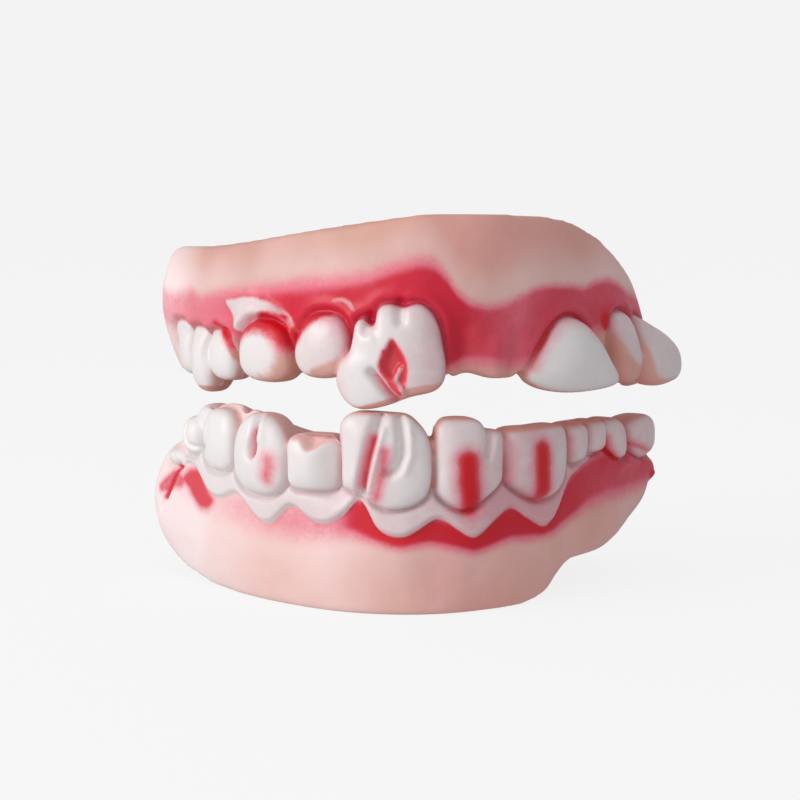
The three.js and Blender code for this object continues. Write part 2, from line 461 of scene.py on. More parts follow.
@dataclass(frozen=True)
class Relief:
    """How far the straight row is worked, in millimetres.

    A range is where a move fades in: by the tilt of the face, by how far out it is or by a distance.
    waves are pairs of how close the mould's unevenness lies and how high it is.
    """

    lip_tilt: Range = (0.05, 0.5)
    lip_out: Range = (-3.2, -2.2)
    tooth_edge: Range = (-0.2, 0.1)
    neck_end: Range = (0.4, 0.8)
    roll_height: float = 0.45
    roll_gap: float = 1.0
    roll_width: float = 0.6
    furrow_gap: float = 0.1
    furrow_width: float = 0.32
    collar_height: float = 0.7
    collar_foot: Range = (0.0, 0.8)
    collar_top: Range = (0.2, 1.4)
    collar_gap: Range = (0.0, 0.5)
    collar_run_out: float = 1.5
    collar_round: float = 1.9
    waves: Line = ((0.16, 0.22), (0.55, 0.05))
    face_tilt: Range = (0.2, 0.7)
    biting_out: Range = (-0.5, -1.5)
    past_floor: Range = (-1.0, 0.5)
    line_width: float = 0.7
    line_depth: float = 0.8
    hollow_depth: float = 0.5
    hollow_out: float = -6.4
    hollow_width: float = 2.2
    hollow_along: Range = (18.0, 24.0)
    tongue_out: Range = (-11.0, -12.0)
    tongue_reach: Range = (9.0, 2.0)
    tongue_line: float = 0.55
    tongue_bulge: float = 0.25


@dataclass(frozen=True)
class Brushwork:
    """How the paint, the painted highlights and the painted shade lie on the straight row: a range is where
    it fades in, in millimetres or by tilt.
    """

    outer_out: Range = (-5.0, -1.6)
    outer_tilt: Range = (-0.5, 0.1)
    white_out: float = -1.6
    white_tilt: float = 0.25
    white_turn: float = 1.6
    white_inset: float = 0.1
    white_above_collar: float = 0.9
    # White painted highlights on the gum: how softly they fade, where they start and how pink they are
    highlight_soft: float = 1.6
    highlight_edge: Range = (-0.3, 0.1)
    highlight_tint: float = 0.28
    blush_neck: Range = (0.25, 0.6)
    blush_edge: Range = (-0.6, -0.1)
    blush_end: Range = (0.2, 2.0)
    band_round: float = 0.8
    band_fade: Range = (-1.7, 1.3)
    band_stop: Range = (-1.8, 1.2)
    mist_round: float = 2.0
    mist_gap: float = 1.0
    mist_width: float = 3.2
    flesh_round: float = 2.5
    flesh_out: Range = (-9.0, -1.5)
    flesh_inner: float = 0.2
    # Painted shade along the teeth's outlines
    crease_shade_width: float = 0.45
    tooth_edge: Range = (-0.4, 0.2)
    # The white's thinning table is partly paint rubbed thin and partly painted shade on teeth turned from the
    # light
    wear_and_shade_round: float = 1.5
    gum_wear: float = 0.06
    off_teeth_wear_and_shade_share: float = 1.1
    crease_shade_share: float = 0.8
    # Grey painted shade on the white off the teeth, on the collar that faces down, and along the teeth's
    # outlines
    off_teeth_painted_shade: float = 0.3
    crease_white_shade: float = 0.5


@dataclass
class Row:
    """One moulding: gum and teeth in one piece, hollowed by the channel for the wearer's own teeth.

    divides are where the lines between the teeth cross the biting side. The strokes taken off again clear
    red away along lines in the broken incisor's chip, so that the white shows there as painted highlights,
    and the white places on the gum are painted highlights too. collar is the lower edge of the roll below the
    teeth and papillae the tops of its points between them. pale is painted light: how much paler the gum is
    along the arch, most towards the left end where the light falls. tan is how brown the gum is along the
    arch. The thinning of the white along the arch is partly the paint rubbed thin and partly painted shade
    where the teeth turn from the light, and mist is how pale the gum is beside the sprayed red.
    """

    name: str
    node: str
    side: Side
    middle_x: float
    channel_floor: float
    sections: tuple[Section, ...]
    teeth: tuple[Tooth, ...]
    divides: tuple[float, ...]
    carvings: tuple[Carving, ...]
    chips: tuple[Chip, ...]
    strokes: tuple[Stroke, ...]
    patches: tuple[Patch, ...]
    bands: tuple[Band, ...]
    pale: Line
    tan: Line
    worn_and_shaded: Line
    mist: float
    highlight_wipes: tuple[Stroke, ...] = ()
    painted_highlights: tuple[Line, ...] = ()
    collar: Line = ()
    papillae: Line = ()
    arch: Arch = Arch()
    mould: Mould = Mould()
    clay: Clay = Clay()
    relief: Relief = Relief()
    brush: Brushwork = Brushwork()

    def column(self, name: str, along: Array) -> Array:
        """One column of the section table at places along the arch."""
        return rounded_table(table_of(self.sections, name), along, self.mould.section_round)

    def across(self, edge: str, along: Array, inward: Array) -> Array:
        """Height of the rim or the bite, from the lips at inward 0 to the tongue at inward 1."""
        lips, tongue = self.column("lip_" + edge, along), self.column("tongue_" + edge, along)
        return lips * (1 - inward) + tongue * inward

    def gum_bar(self) -> bpy.types.Object:
        """The solid bar of gum, straight, from its rim to its biting side."""
        mould, half_length = self.mould, self.arch.half_length
        bar = cut_cube(self.clay.bar_cuts)
        unit = read_points(bar)
        along = 2 * half_length * unit[:, 0]
        inward = unit[:, 1] + 0.5
        share = 0.5 - self.side.value * unit[:, 2]
        rim = self.across("rim", along, inward) + self.side.value * mould.rim_spare
        bite = self.across("bite", along, inward)
        lips = self.column("bulge", along) * np.sin(np.pi * share**mould.bulge_skew)
        lips -= mould.rim_tuck * (1 - share) ** mould.tuck_power
        lips -= mould.biting_tuck * share**mould.tuck_power
        past = np.clip((np.abs(along) - half_length + mould.end_round) / mould.end_round, 0, 1)
        pinch = 1 - np.sqrt(1 - mould.end_pinch * past**2)
        out = lips * (1 - inward) - mould.thickness * inward
        out = out * (1 - pinch) + (lips - mould.thickness) / 2 * pinch
        write_points(bar, np.stack([along, -out, rim * (1 - share) + bite * share], axis=1))
        return bar

    def channel_core(self) -> bpy.types.Object:
        """The core that hollows the bar out for the wearer's own teeth."""
        mould = self.mould
        core = cut_cube(self.clay.core_cuts)
        unit = read_points(core)
        along = 2 * (self.arch.half_length - mould.end_wall) * unit[:, 0]
        inward = unit[:, 1] + 0.5
        floor = 0.5 - self.side.value * unit[:, 2]
        taper = mould.channel_taper * floor
        lips = -mould.outer_wall - taper
        tongue = mould.inner_wall + taper - mould.thickness
        bites = np.stack([self.column("lip_bite", along), self.column("tongue_bite", along)])
        lowest, highest = mould.channel_ends
        if self.side is Side.UPPER:
            mouth, deepest = highest, np.maximum(self.channel_floor, bites.max(0) + mould.floor_web)
        else:
            mouth, deepest = lowest, np.minimum(self.channel_floor, bites.min(0) - mould.floor_web)
        out = lips * (1 - inward) + tongue * inward
        write_points(core, np.stack([along, -out, mouth * (1 - floor) + deepest * floor], axis=1))
        return core

    def gum_shell(self) -> bpy.types.Object:
        """The hollowed gum with its edges rubbed round."""
        bar, core = self.gum_bar(), self.channel_core()
        apply_modifier(bar, "BOOLEAN", operation="DIFFERENCE", solver="EXACT", object=core)
        bpy.data.objects.remove(core)
        apply_modifier(bar, "REMESH", mode="VOXEL", voxel_size=self.clay.shell_voxel)
        rub_smooth(bar, *self.clay.shell_rub)
        return bar

    def crown(self, tooth: Tooth) -> bpy.types.Object:
        """One tooth's crown, straight: a ball drawn out to the tooth's outline.

        Args:
            tooth: The tooth to make.

        Returns:
            The crown, closed, with its root in the gum.
        """
        mould = self.mould
        segments, rings = self.clay.ball_segments, self.clay.ball_rings
        bpy.ops.object.select_all(action="DESELECT")
        bpy.ops.mesh.primitive_uv_sphere_add(segments=segments, ring_count=rings, radius=1.0)
        ball = bpy.context.object
        ball.name = tooth.name
        unit = read_points(ball)
        loop = closed_curve(tooth.outline)
        centre = (loop.max(0) + loop.min(0)) / 2
        spokes = loop - centre
        angles = np.arctan2(spokes[:, 1], spokes[:, 0])
        order = np.argsort(angles)
        around = np.arctan2(unit[:, 1], unit[:, 0])
        reach = np.interp(around, angles[order], np.hypot(*spokes.T)[order], period=2 * np.pi)
        places = centre + unit[:, :2] * reach[:, None]
        share = self.tip_share(tooth, places[:, 1])
        depth = np.sign(unit[:, 2]) * np.abs(unit[:, 2]) ** (2 * tooth.flat)
        half_width = (loop[:, 0].max() - loop[:, 0].min()) / 2
        out = tooth.proud + tooth.flare * (share - 0.5)
        out = out + tooth.turn * (places[:, 0] - centre[0]) / half_width
        out = out - mould.tooth_half_thickness * (1 - depth)
        in_wall = ease(*mould.root_step, self.side.value * (places[:, 1] - self.channel_floor))
        root = FAR * (1 - in_wall) + (mould.outer_wall - mould.root_cover) * in_wall
        out = np.maximum(out, -root)
        write_points(ball, np.stack([places[:, 0], -out, places[:, 1]], axis=1))
        return ball

    def tip_share(self, tooth: Tooth, z: Array) -> Array:
        """Share of the way from a tooth's neck, 0, to its biting edge, 1."""
        heights = [point[1] for point in tooth.outline]
        low, high = min(heights), max(heights)
        share = (z - low) / (high - low)
        return share if self.side is Side.LOWER else 1 - share

    def build(self) -> bpy.types.Object:
        """Makes the row's mesh, bent round its arch, in metres, with its paint in attributes."""
        clay = self.clay
        body = self.gum_shell()
        crowns = [self.crown(tooth) for tooth in self.teeth]
        select_only(body)
        for crown in crowns:
            crown.select_set(True)
        bpy.ops.object.join()
        apply_modifier(body, "REMESH", mode="VOXEL", voxel_size=clay.voxel)
        rub_smooth(body, *clay.joined_rub)
        self.sculpt(body)
        rub_smooth(body, *clay.worked_rub)
        self.paint(body)
        plain = self.mark_plain(body)
        write_points(body, self.arch.bend(read_points(body), self.middle_x))
        apply_modifier(body, "DECIMATE", ratio=clay.kept_share, vertex_group=plain)
        body.vertex_groups.clear()
        write_points(body, read_points(body) * MM)
        body.name = body.data.name = self.name
        select_only(body)
        bpy.ops.object.shade_smooth()
        return body

    def mark_plain(self, body: bpy.types.Object) -> str:
        """Names the group of plain places that need fewer triangles: channel, back and bare gum."""
        points, normals = read_points(body), read_points(body, "normal")
        facing = (-points[:, 1] > self.clay.worked_out) & (normals[:, 1] < self.clay.worked_tilt)
        height = self.side.value * (points[:, 2] - self.channel_floor)
        plain = ~(facing & (height < self.clay.worked_height))
        group = body.vertex_groups.new(name="plain")
        group.add([int(index) for index in np.flatnonzero(plain)], 1.0, "REPLACE")
        return group.name

    def faces(self) -> list[Tooth]:
        """The teeth that show on the lip face."""
        return [tooth for tooth in self.teeth if tooth.proud > 0]

    def tooth_distances(self, places: Array) -> list[Array]:
        """How far each place is inside the outline of each tooth that shows."""
        return [inside_distance(places, closed_curve(tooth.outline)) for tooth in self.faces()]

    def sculpt(self, body: bpy.types.Object) -> None:
        """Works the gum's rolls, the collar, the grooves and the chips into the straight row."""
        relief = self.relief
        points, normals = read_points(body), read_points(body, "normal")
        out, z = -points[:, 1], points[:, 2]
        places = points[:, [0, 2]]
        facing = ease(*relief.lip_tilt, -normals[:, 1]) * ease(*relief.lip_out, out)
        inside = self.tooth_distances(places)
        nearest = np.max(inside, axis=0)
        on_gum = 1 - ease(*relief.tooth_edge, nearest)
        push = np.zeros(len(points))
        for tooth, distance in zip(self.faces(), inside):
            neck = 1 - ease(*relief.neck_end, self.tip_share(tooth, z))
            roll = relief.roll_height * bell(distance + relief.roll_gap, relief.roll_width)
            push += tooth.margin * neck * on_gum * roll
            push -= tooth.furrow * neck * bell(distance + relief.furrow_gap, relief.furrow_width)
        if self.collar:
            push += self.collar_lift(places, nearest)
        push += self.unevenness(points)
        for mark in (*self.carvings, *self.chips):
            push += mark.lift(places)
        points[:, 1] -= push * facing
        self.divide_table(points, normals)
        write_points(body, points)

    def collar_lift(self, places: Array, nearest: Array) -> Array:
        """How far the collar below the teeth stands out from the gum.

        Args:
            places: Rows of along and up.
            nearest: How far each place is inside the nearest tooth.

        Returns:
            A lift for each place.
        """
        relief = self.relief
        along, z = places.T
        low, high = self.collar_edges(along)
        start, end = self.collar[0][0], self.collar[-1][0]
        lift = ease(*relief.collar_foot, z - low) * (1 - ease(*relief.collar_top, z - high))
        ends = ease(start, start + relief.collar_run_out, along)
        ends = ends * (1 - ease(end - relief.collar_run_out, end, along))
        return relief.collar_height * lift * ends * ease(*relief.collar_gap, -nearest)

    def collar_edges(self, along: Array) -> tuple[Array, Array]:
        """Lower edge of the collar, and the tops of its points between the teeth."""
        round_by = self.relief.collar_round
        return rounded_table(self.collar, along, round_by), rounded_table(self.papillae, along, round_by)

    def unevenness(self, points: Array) -> Array:
        """Slow unevenness of a hand-made mould."""
        total = np.zeros(len(points))
        for closeness, height in self.relief.waves:
            total += height * np.array([noise.noise(Vector(point) * closeness) for point in points])
        return total

    def divide_table(self, points: Array, normals: Array) -> None:
        """Carries the lines between the teeth over the biting side to the tongue side.

        Args:
            points: The row's points, which are moved.
            normals: The way each point faces.
        """
        relief, way = self.relief, self.side.value
        along, out, z = points[:, 0], -points[:, 1], points[:, 2]
        lines = np.max([bell(along - divide, relief.line_width) for divide in self.divides], axis=0)
        biting = ease(*relief.face_tilt, -way * normals[:, 2]) * ease(*relief.biting_out, out)
        beyond = ease(*relief.past_floor, way * (self.channel_floor - z))
        hollow = relief.hollow_depth * bell(out - relief.hollow_out, relief.hollow_width)
        hollow = hollow * ease(*relief.hollow_along, np.abs(along))
        points[:, 2] += way * biting * beyond * (relief.line_depth * lines + hollow)
        tongue = ease(*relief.face_tilt, normals[:, 1]) * ease(*relief.tongue_out, out)
        near_bite = ease(*relief.tongue_reach, np.abs(z - self.column("tongue_bite", along)))
        points[:, 1] -= tongue * near_bite * (relief.tongue_line * lines - relief.tongue_bulge)

    def paint(self, body: bpy.types.Object) -> None:
        """Stores where each paint lies, where light, shade and highlights are painted, and how the gum and
        the white vary, on the straight row.
        """
        brush = self.brush
        points, normals = read_points(body), read_points(body, "normal")
        out, places = -points[:, 1], points[:, [0, 2]]
        outer = ease(*brush.outer_out, out) * ease(*brush.outer_tilt, -normals[:, 1])
        inside = self.tooth_distances(places)
        nearest = np.max(inside, axis=0)
        # Paint darkened along the teeth's outlines as painted shade
        crease_shade = bell(nearest, brush.crease_shade_width) * outer
        # White painted highlights on the gum, joined into the white paint's edge
        highlight_depth = self.painted_highlight_depth(places)
        facing = (brush.white_tilt - normals[:, 1]) * brush.white_turn
        white = np.minimum(self.white_depth(places, inside), facing)
        white = np.maximum(white, highlight_depth / brush.highlight_soft)
        self.store(body, "white_and_highlight_edge", np.where(out > brush.white_out, white, -FAR))
        self.store(body, "red_spray", self.spray(places) * outer)
        self.store(body, "red_stroke", self.red_strokes(places, inside) * outer)
        self.store(body, "crease_painted_shade", crease_shade)

        along = places[:, 0]
        on_lips = brush.flesh_inner + (1 - brush.flesh_inner) * ease(*brush.flesh_out, out)
        # Paler flesh towards the left end where the light falls is painted light, and the mist beside the
        # spray adds to it
        lit_and_misted = rounded_table(self.pale, along, brush.flesh_round) + self.misting(places)
        self.store(body, "painted_light_and_mist", lit_and_misted * on_lips)
        self.store(body, "tan", rounded_table(self.tan, along, brush.flesh_round) * on_lips)

        off_teeth = 1 - ease(*brush.tooth_edge, nearest)
        in_highlight = ease(*brush.highlight_edge, highlight_depth)
        # The white's thinning is partly the paint rubbed thin, partly painted shade on teeth turned from the
        # light and along their outlines, with a pink tint on the painted highlights
        more = 1 + brush.off_teeth_wear_and_shade_share * off_teeth + brush.crease_shade_share * crease_shade
        wear_and_shade = rounded_table(self.worn_and_shaded, along, brush.wear_and_shade_round) * more + brush.gum_wear * off_teeth
        self.store(body, "white_wear_and_shade", wear_and_shade + brush.highlight_tint * in_highlight)
        # Greyer white off the teeth, on the collar that faces down, and along the teeth's outlines: painted
        # shade
        white_shade = brush.off_teeth_painted_shade * off_teeth + brush.crease_white_shade * crease_shade
        self.store(body, "white_painted_shade", white_shade * (1 - in_highlight))

    def painted_highlight_depth(self, places: Array) -> Array:
        """How far each place is inside a white painted highlight on the gum."""
        depths = [inside_distance(places, closed_curve(highlight)) for highlight in self.painted_highlights]
        return np.max([np.full(len(places), -FAR), *depths], axis=0)

    def white_depth(self, places: Array, inside: list[Array]) -> Array:
        """How far each place is inside the brushed white.

        Args:
            places: Rows of along and up.
            inside: How far each place is inside each tooth that shows.

        Returns:
            Distances, negative outside the white.
        """
        brush = self.brush
        white = np.full(len(places), -FAR)
        for tooth, distance in zip(self.faces(), inside):
            white = np.maximum(white, np.minimum(distance - brush.white_inset, self.white_on(tooth, places)))
        if self.collar:
            along, z = places.T
            low, high = self.collar_edges(along)
            ends = np.minimum(along - self.collar[0][0], self.collar[-1][0] - along)
            above, below = z - low - brush.white_inset, high + brush.white_above_collar - z
            white = np.maximum(white, np.min([above, below, ends], axis=0))
        return white

    def white_on(self, tooth: Tooth, places: Array) -> Array:
        """How far each place is inside what the brush meant to cover on one tooth."""
        if tooth.white:
            return inside_distance(places, closed_curve(tooth.white)) / tooth.soft
        heights = [point[1] for point in tooth.outline]
        biting_edge = max(heights) if self.side is Side.LOWER else min(heights)
        return self.side.value * (places[:, 1] - biting_edge) - tooth.bare

    def red_strokes(self, places: Array, inside: list[Array]) -> Array:
        """How thick the brushed red lies at each place.

        Args:
            places: Rows of along and up.
            inside: How far each place is inside each tooth that shows.

        Returns:
            Numbers from 0 to 1.
        """
        brush = self.brush
        red = np.zeros(len(places))
        for tooth, distance in zip(self.faces(), inside):
            neck = 1 - ease(*brush.blush_neck, self.tip_share(tooth, places[:, 1]))
            drift = ease(*brush.blush_edge, distance) * (1 - ease(*brush.blush_end, distance))
            red = np.maximum(red, tooth.blush * neck * drift)
        for dab in (*self.strokes, *self.patches):
            red = np.maximum(red, dab.cover(places))
        # Red cleared off along lines in the broken incisor's chip, so the white shows as painted highlights
        for highlight_wipe in self.highlight_wipes:
            red = red * (1 - highlight_wipe.cover(places))
        return red

    def misting(self, places: Array) -> Array:
        """How much paler the gum is just beyond the sprayed red."""
        brush = self.brush
        edge = rounded_table(table_of(self.bands, "fade"), places[:, 0], brush.mist_round)
        beyond = self.side.value * (places[:, 1] - edge)
        return self.mist * bell(beyond - brush.mist_gap, brush.mist_width)

    def spray(self, places: Array) -> Array:
        """How thick the sprayed red lies at each place, from 0 to 1."""
        brush, way = self.brush, self.side.value
        along, z = places.T
        fade, stop, soft, strength = (
            rounded_table(table_of(self.bands, name), along, brush.band_round)
            for name in ("fade", "stop", "soft", "strength")
        )
        start, end = brush.band_fade
        fading = ease(start * soft, end * soft, way * (fade - z))
        stopping = ease(*brush.band_stop, way * (z - stop))
        return np.clip(strength, 0, 1) * fading * stopping

    @staticmethod
    def store(body: bpy.types.Object, name: str, values: Array) -> None:
        """Keeps a number for each vertex under a name that the finish reads."""
        layer = body.data.attributes.new(name, "FLOAT", "POINT")
        layer.data.foreach_set("value", values.astype(np.float32))

    def dress(self, body: bpy.types.Object, finish: bpy.types.Material) -> None:
        """Gives the row its finish and hangs it on the frame."""
        body.data.materials.clear()
        body.data.materials.append(finish)
        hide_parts(self.node)
        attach(body, BODY)


class Value:
    """A number socket that can be written into sums."""

    def __init__(self, sheet: "NodeSheet", socket: bpy.types.NodeSocket) -> None:
        """Keeps the socket and the sheet that new nodes go on."""
        self.sheet = sheet
        self.socket = socket

    def _math(self, operation: str, first: Any, second: Any) -> "Value":
        """One Math node."""
        node = self.sheet.make("ShaderNodeMath", {"operation": operation}, {0: first, 1: second})
        return Value(self.sheet, node.outputs[0])

    def __add__(self, other: Any) -> "Value":
        """Sum."""
        return self._math("ADD", self, other)

    __radd__ = __add__

    def __sub__(self, other: Any) -> "Value":
        """Difference."""
        return self._math("SUBTRACT", self, other)

    def __rsub__(self, other: Any) -> "Value":
        """Difference, the other way round."""
        return self._math("SUBTRACT", other, self)

    def __mul__(self, other: Any) -> "Value":
        """Product."""
        return self._math("MULTIPLY", self, other)

    __rmul__ = __mul__

    def halfway(self) -> "Value":
        """1 where this is a half, falling to 0 where it is 0 or 1."""
        return self * (1.0 - self) * 4.0

    def step(self, low: float, high: float) -> "Value":
        """Smooth step from 0 at low to 1 at high."""
        sockets = {"Value": self, "From Min": low, "From Max": high}
        node = self.sheet.make("ShaderNodeMapRange", {"interpolation_type": "SMOOTHSTEP"}, sockets)
        return Value(self.sheet, node.outputs[0])


class NodeSheet:
    """A node tree and the one way that nodes are put on it."""

    def __init__(self, tree: bpy.types.NodeTree) -> None:
        """Starts from an empty tree."""
        self.tree = tree
        tree.nodes.clear()

    def make(
        self, kind: str, settings: dict[str, Any] | None = None, sockets: dict[Any, Any] | None = None
    ) -> bpy.types.Node:
        """Adds a node.

        Args:
            kind: The node's type.
            settings: Its settings by name, set first.
            sockets: A value or a link for each input, by name or number.

        Returns:
            The new node.
        """
        node = self.tree.nodes.new(kind)
        for name, value in (settings or {}).items():
            setattr(node, name, value)
        for name, value in (sockets or {}).items():
            source = value.socket if isinstance(value, Value) else value
            if isinstance(source, bpy.types.NodeSocket):
                self.tree.links.new(source, node.inputs[name])
            else:
                node.inputs[name].default_value = source
        return node

    def attribute(self, name: str) -> Value:
        """A number kept on the mesh."""
        return Value(self, self.make("ShaderNodeAttribute", {"attribute_name": name}).outputs["Fac"])

    def grain(self, place: bpy.types.NodeSocket, size: float, detail: float) -> Value:
        """Noise about 0, with grains of a size in metres."""
        node = self.make("ShaderNodeTexNoise", None, {"Vector": place, "Scale": 1 / size, "Detail": detail})
        return Value(self, node.outputs["Fac"]) - 0.5

    def mix(self, share: Any, first: Any, second: Any) -> bpy.types.NodeSocket:
        """A colour between two colours."""
        node = self.make("ShaderNodeMix", {"data_type": "RGBA"}, {0: share, 6: first, 7: second})
        return node.outputs[2]


@dataclass(frozen=True)
class Grains:
    """Noise of five sizes, from patches as wide as a tooth down to specks of spray."""

    wide: Value
    broad: Value
    middle: Value
    fine: Value
    speck: Value

    def blend(self, **shares: float) -> Value:
        """The named grains added up, each by its share."""
        parts = [getattr(self, name) * share for name, share in shares.items()]
        return sum(parts[1:], parts[0])


@dataclass(frozen=True)
class PaintedRubber:
    """Flesh-coloured soft rubber with brushed white teeth and sprayed and brushed red, and light, shade and
    highlights painted into its colours.

    Sizes are in metres. A range is where a colour or a cover fades in.
    """

    name: str = "hand_painted_rubber"
    flesh: Colour = (0.81, 0.42, 0.34, 1.0)
    flesh_rosy: Colour = (0.80, 0.385, 0.345, 1.0)
    # Flesh where the light falls strongest: painted light
    flesh_lit_and_misted: Colour = (0.92, 0.76, 0.75, 1.0)
    flesh_tan: Colour = (0.55, 0.31, 0.25, 1.0)
    # Flesh in the shade along the teeth's outlines: painted shade
    flesh_shaded: Colour = (0.62, 0.24, 0.20, 1.0)
    red: Colour = (0.63, 0.008, 0.036, 1.0)
    red_thin: Colour = (0.80, 0.11, 0.20, 1.0)
    # Red in the shade along the teeth's outlines: painted shade
    red_shaded: Colour = (0.42, 0.045, 0.085, 1.0)
    stroke_red: Colour = (0.65, 0.006, 0.014, 1.0)
    stroke_thin: Colour = (0.80, 0.22, 0.29, 1.0)
    white: Colour = (0.805, 0.78, 0.77, 1.0)
    # Pinkish thin white, also standing for painted shade where the teeth turn from the light
    white_worn_and_shaded: Colour = (0.70, 0.385, 0.41, 1.0)
    # White in shade: painted shade
    white_shaded: Colour = (0.66, 0.60, 0.60, 1.0)
    wide_size: float = 0.016
    broad_size: float = 0.007
    middle_size: float = 0.0014
    fine_size: float = 0.00045
    speck_size: float = 0.00016
    soft_detail: float = 2.0
    rough_detail: float = 3.0
    rosy_contrast: float = 1.6
    rosy_range: Range = (0.2, 0.8)
    # How strongly the flesh and the red are painted in shade along the teeth's outlines
    flesh_crease_shade: float = 0.25
    red_crease_shade: float = 0.7
    red_range: Range = (0.03, 0.32)
    gloss_range: Range = (0.1, 0.9)
    over_red_range: Range = (0.3, 0.8)
    white_range: Range = (-0.18, 0.2)
    white_speckle: float = 0.1
    stroke_range: Range = (0.25, 0.95)
    stroke_cover: float = 1.5
    roughness: float = 0.5
    red_gloss: float = 0.1
    white_gloss: float = 0.14
    uneven_gloss: float = 0.12
    brush_marks: float = 1.2
    bump_strength: float = 0.3
    bump_depth: float = 0.00006
    shine: float = 0.4
    glow_weight: float = 0.1
    glow_radius: tuple[float, float, float] = (1.0, 0.4, 0.3)
    glow_depth: float = 0.0007

    def grains(self, sheet: NodeSheet) -> Grains:
        """The noise that every part of the finish shares."""
        place = sheet.make("ShaderNodeTexCoord").outputs["Object"]
        return Grains(
            wide=sheet.grain(place, self.wide_size, self.soft_detail),
            broad=sheet.grain(place, self.broad_size, self.soft_detail),
            middle=sheet.grain(place, self.middle_size, self.rough_detail),
            fine=sheet.grain(place, self.fine_size, self.rough_detail),
            speck=sheet.grain(place, self.speck_size, self.soft_detail),
        )

    def flesh_colour(self, sheet: NodeSheet, grains: Grains) -> bpy.types.NodeSocket:
        """The bare rubber, rosier and browner in places, paler where light is painted on, and darker along
        the teeth's outlines as painted shade.
        """
        rosy = (grains.broad * self.rosy_contrast + 0.5).step(*self.rosy_range)
        uneven = grains.blend(wide=0.8, broad=0.2)
        flesh = sheet.mix(rosy, self.flesh, self.flesh_rosy)
        flesh = sheet.mix(sheet.attribute("tan") - uneven, flesh, self.flesh_tan)
        flesh = sheet.mix(sheet.attribute("painted_light_and_mist") + uneven, flesh, self.flesh_lit_and_misted)
        return sheet.mix(sheet.attribute("crease_painted_shade") * self.flesh_crease_shade, flesh, self.flesh_shaded)

    def red_colour(self, sheet: NodeSheet, grains: Grains, spray: Value) -> bpy.types.NodeSocket:
        """The sprayed red, lighter where it is thin and darker along the teeth's outlines as painted shade.
        """
        thin = (grains.blend(middle=0.12, broad=0.15) + 1.0 - spray).step(*self.red_range)
        red = sheet.mix(thin, self.red, self.red_thin)
        return sheet.mix(sheet.attribute("crease_painted_shade") * self.red_crease_shade, red, self.red_shaded)

    def white_colour(self, sheet: NodeSheet, grains: Grains) -> bpy.types.NodeSocket:
        """The brushed white, greyed by painted shade off the teeth and along their outlines, and letting the
        gum through where it is rubbed thin and where shade is painted.
        """
        white = sheet.mix(sheet.attribute("white_painted_shade"), self.white, self.white_shaded)
        worn_and_shaded = sheet.attribute("white_wear_and_shade") * (grains.blend(broad=0.8, middle=0.9) + 1.0)
        return sheet.mix(worn_and_shaded + grains.middle * self.white_speckle, white, self.white_worn_and_shaded)

    def with_strokes(
        self, sheet: NodeSheet, grains: Grains, base: bpy.types.NodeSocket, over_red: Value
    ) -> bpy.types.NodeSocket:
        """Brushes the red strokes over a colour.

        Args:
            sheet: The sheet to work on.
            grains: The finish's noise.
            base: The colour below.
            over_red: Where that is sprayed red, on which a stroke has no pale edge.

        Returns:
            The colour with the strokes on it.
        """
        stroke = sheet.attribute("red_stroke")
        dab = stroke + stroke.halfway() * grains.blend(fine=0.25, middle=0.25)
        thick = stroke.step(*self.stroke_range) + over_red
        return sheet.mix(dab * self.stroke_cover, base, sheet.mix(thick, self.stroke_thin, self.stroke_red))

    def material(self) -> bpy.types.Material:
        """The finish as a material."""
        made = bpy.data.materials.new(self.name)
        made.use_nodes = True
        sheet = NodeSheet(made.node_tree)
        grains = self.grains(sheet)
        spray = sheet.attribute("red_spray")
        cover = spray + spray.halfway() * grains.blend(speck=0.3, fine=0.25, middle=0.2)
        edge = sheet.attribute("white_and_highlight_edge") + grains.blend(middle=0.3, fine=0.12)
        painted = edge.step(*self.white_range)
        base = self.flesh_colour(sheet, grains)
        base = sheet.mix(cover.step(0.0, 1.0), base, self.red_colour(sheet, grains, spray))
        base = sheet.mix(painted, base, self.white_colour(sheet, grains))
        base = self.with_strokes(sheet, grains, base, cover.step(*self.over_red_range) * (1.0 - painted))

        gloss = cover.step(*self.gloss_range) * self.red_gloss + painted * self.white_gloss
        relief = grains.blend(fine=0.7, speck=0.4) + grains.middle * painted * self.brush_marks
        bump_sockets = {"Strength": self.bump_strength, "Distance": self.bump_depth, "Height": relief}
        bump = sheet.make("ShaderNodeBump", None, bump_sockets)
        shader_sockets = {
            "Base Color": base,
            "Roughness": self.roughness - gloss + grains.middle * self.uneven_gloss,
            "Normal": bump.outputs[0],
            "Specular IOR Level": self.shine,
            "Subsurface Weight": self.glow_weight,
            "Subsurface Radius": self.glow_radius,
            "Subsurface Scale": self.glow_depth,
        }
        shader = sheet.make("ShaderNodeBsdfPrincipled", None, shader_sockets)
        sheet.make("ShaderNodeOutputMaterial", None, {"Surface": shader.outputs[0]})
        return made


@dataclass(frozen=True)
class Softbox:
    """A square soft light: degrees round and above the object, side in metres, watts and colour."""

    name: str
    azimuth: float
    elevation: float
    size: float
    power: float
    colour: tuple[float, float, float]


LIGHTS = (
    Softbox("key_light", azimuth=-62.0, elevation=20.0, size=0.32, power=1.5, colour=(1.0, 0.98, 0.96)),
    Softbox("front_light", azimuth=-10.0, elevation=12.0, size=0.50, power=0.2, colour=(0.99, 0.98, 1.0)),
    Softbox("low_light", azimuth=-24.0, elevation=-30.0, size=0.50, power=0.36, colour=(1.0, 0.98, 0.97)),
)


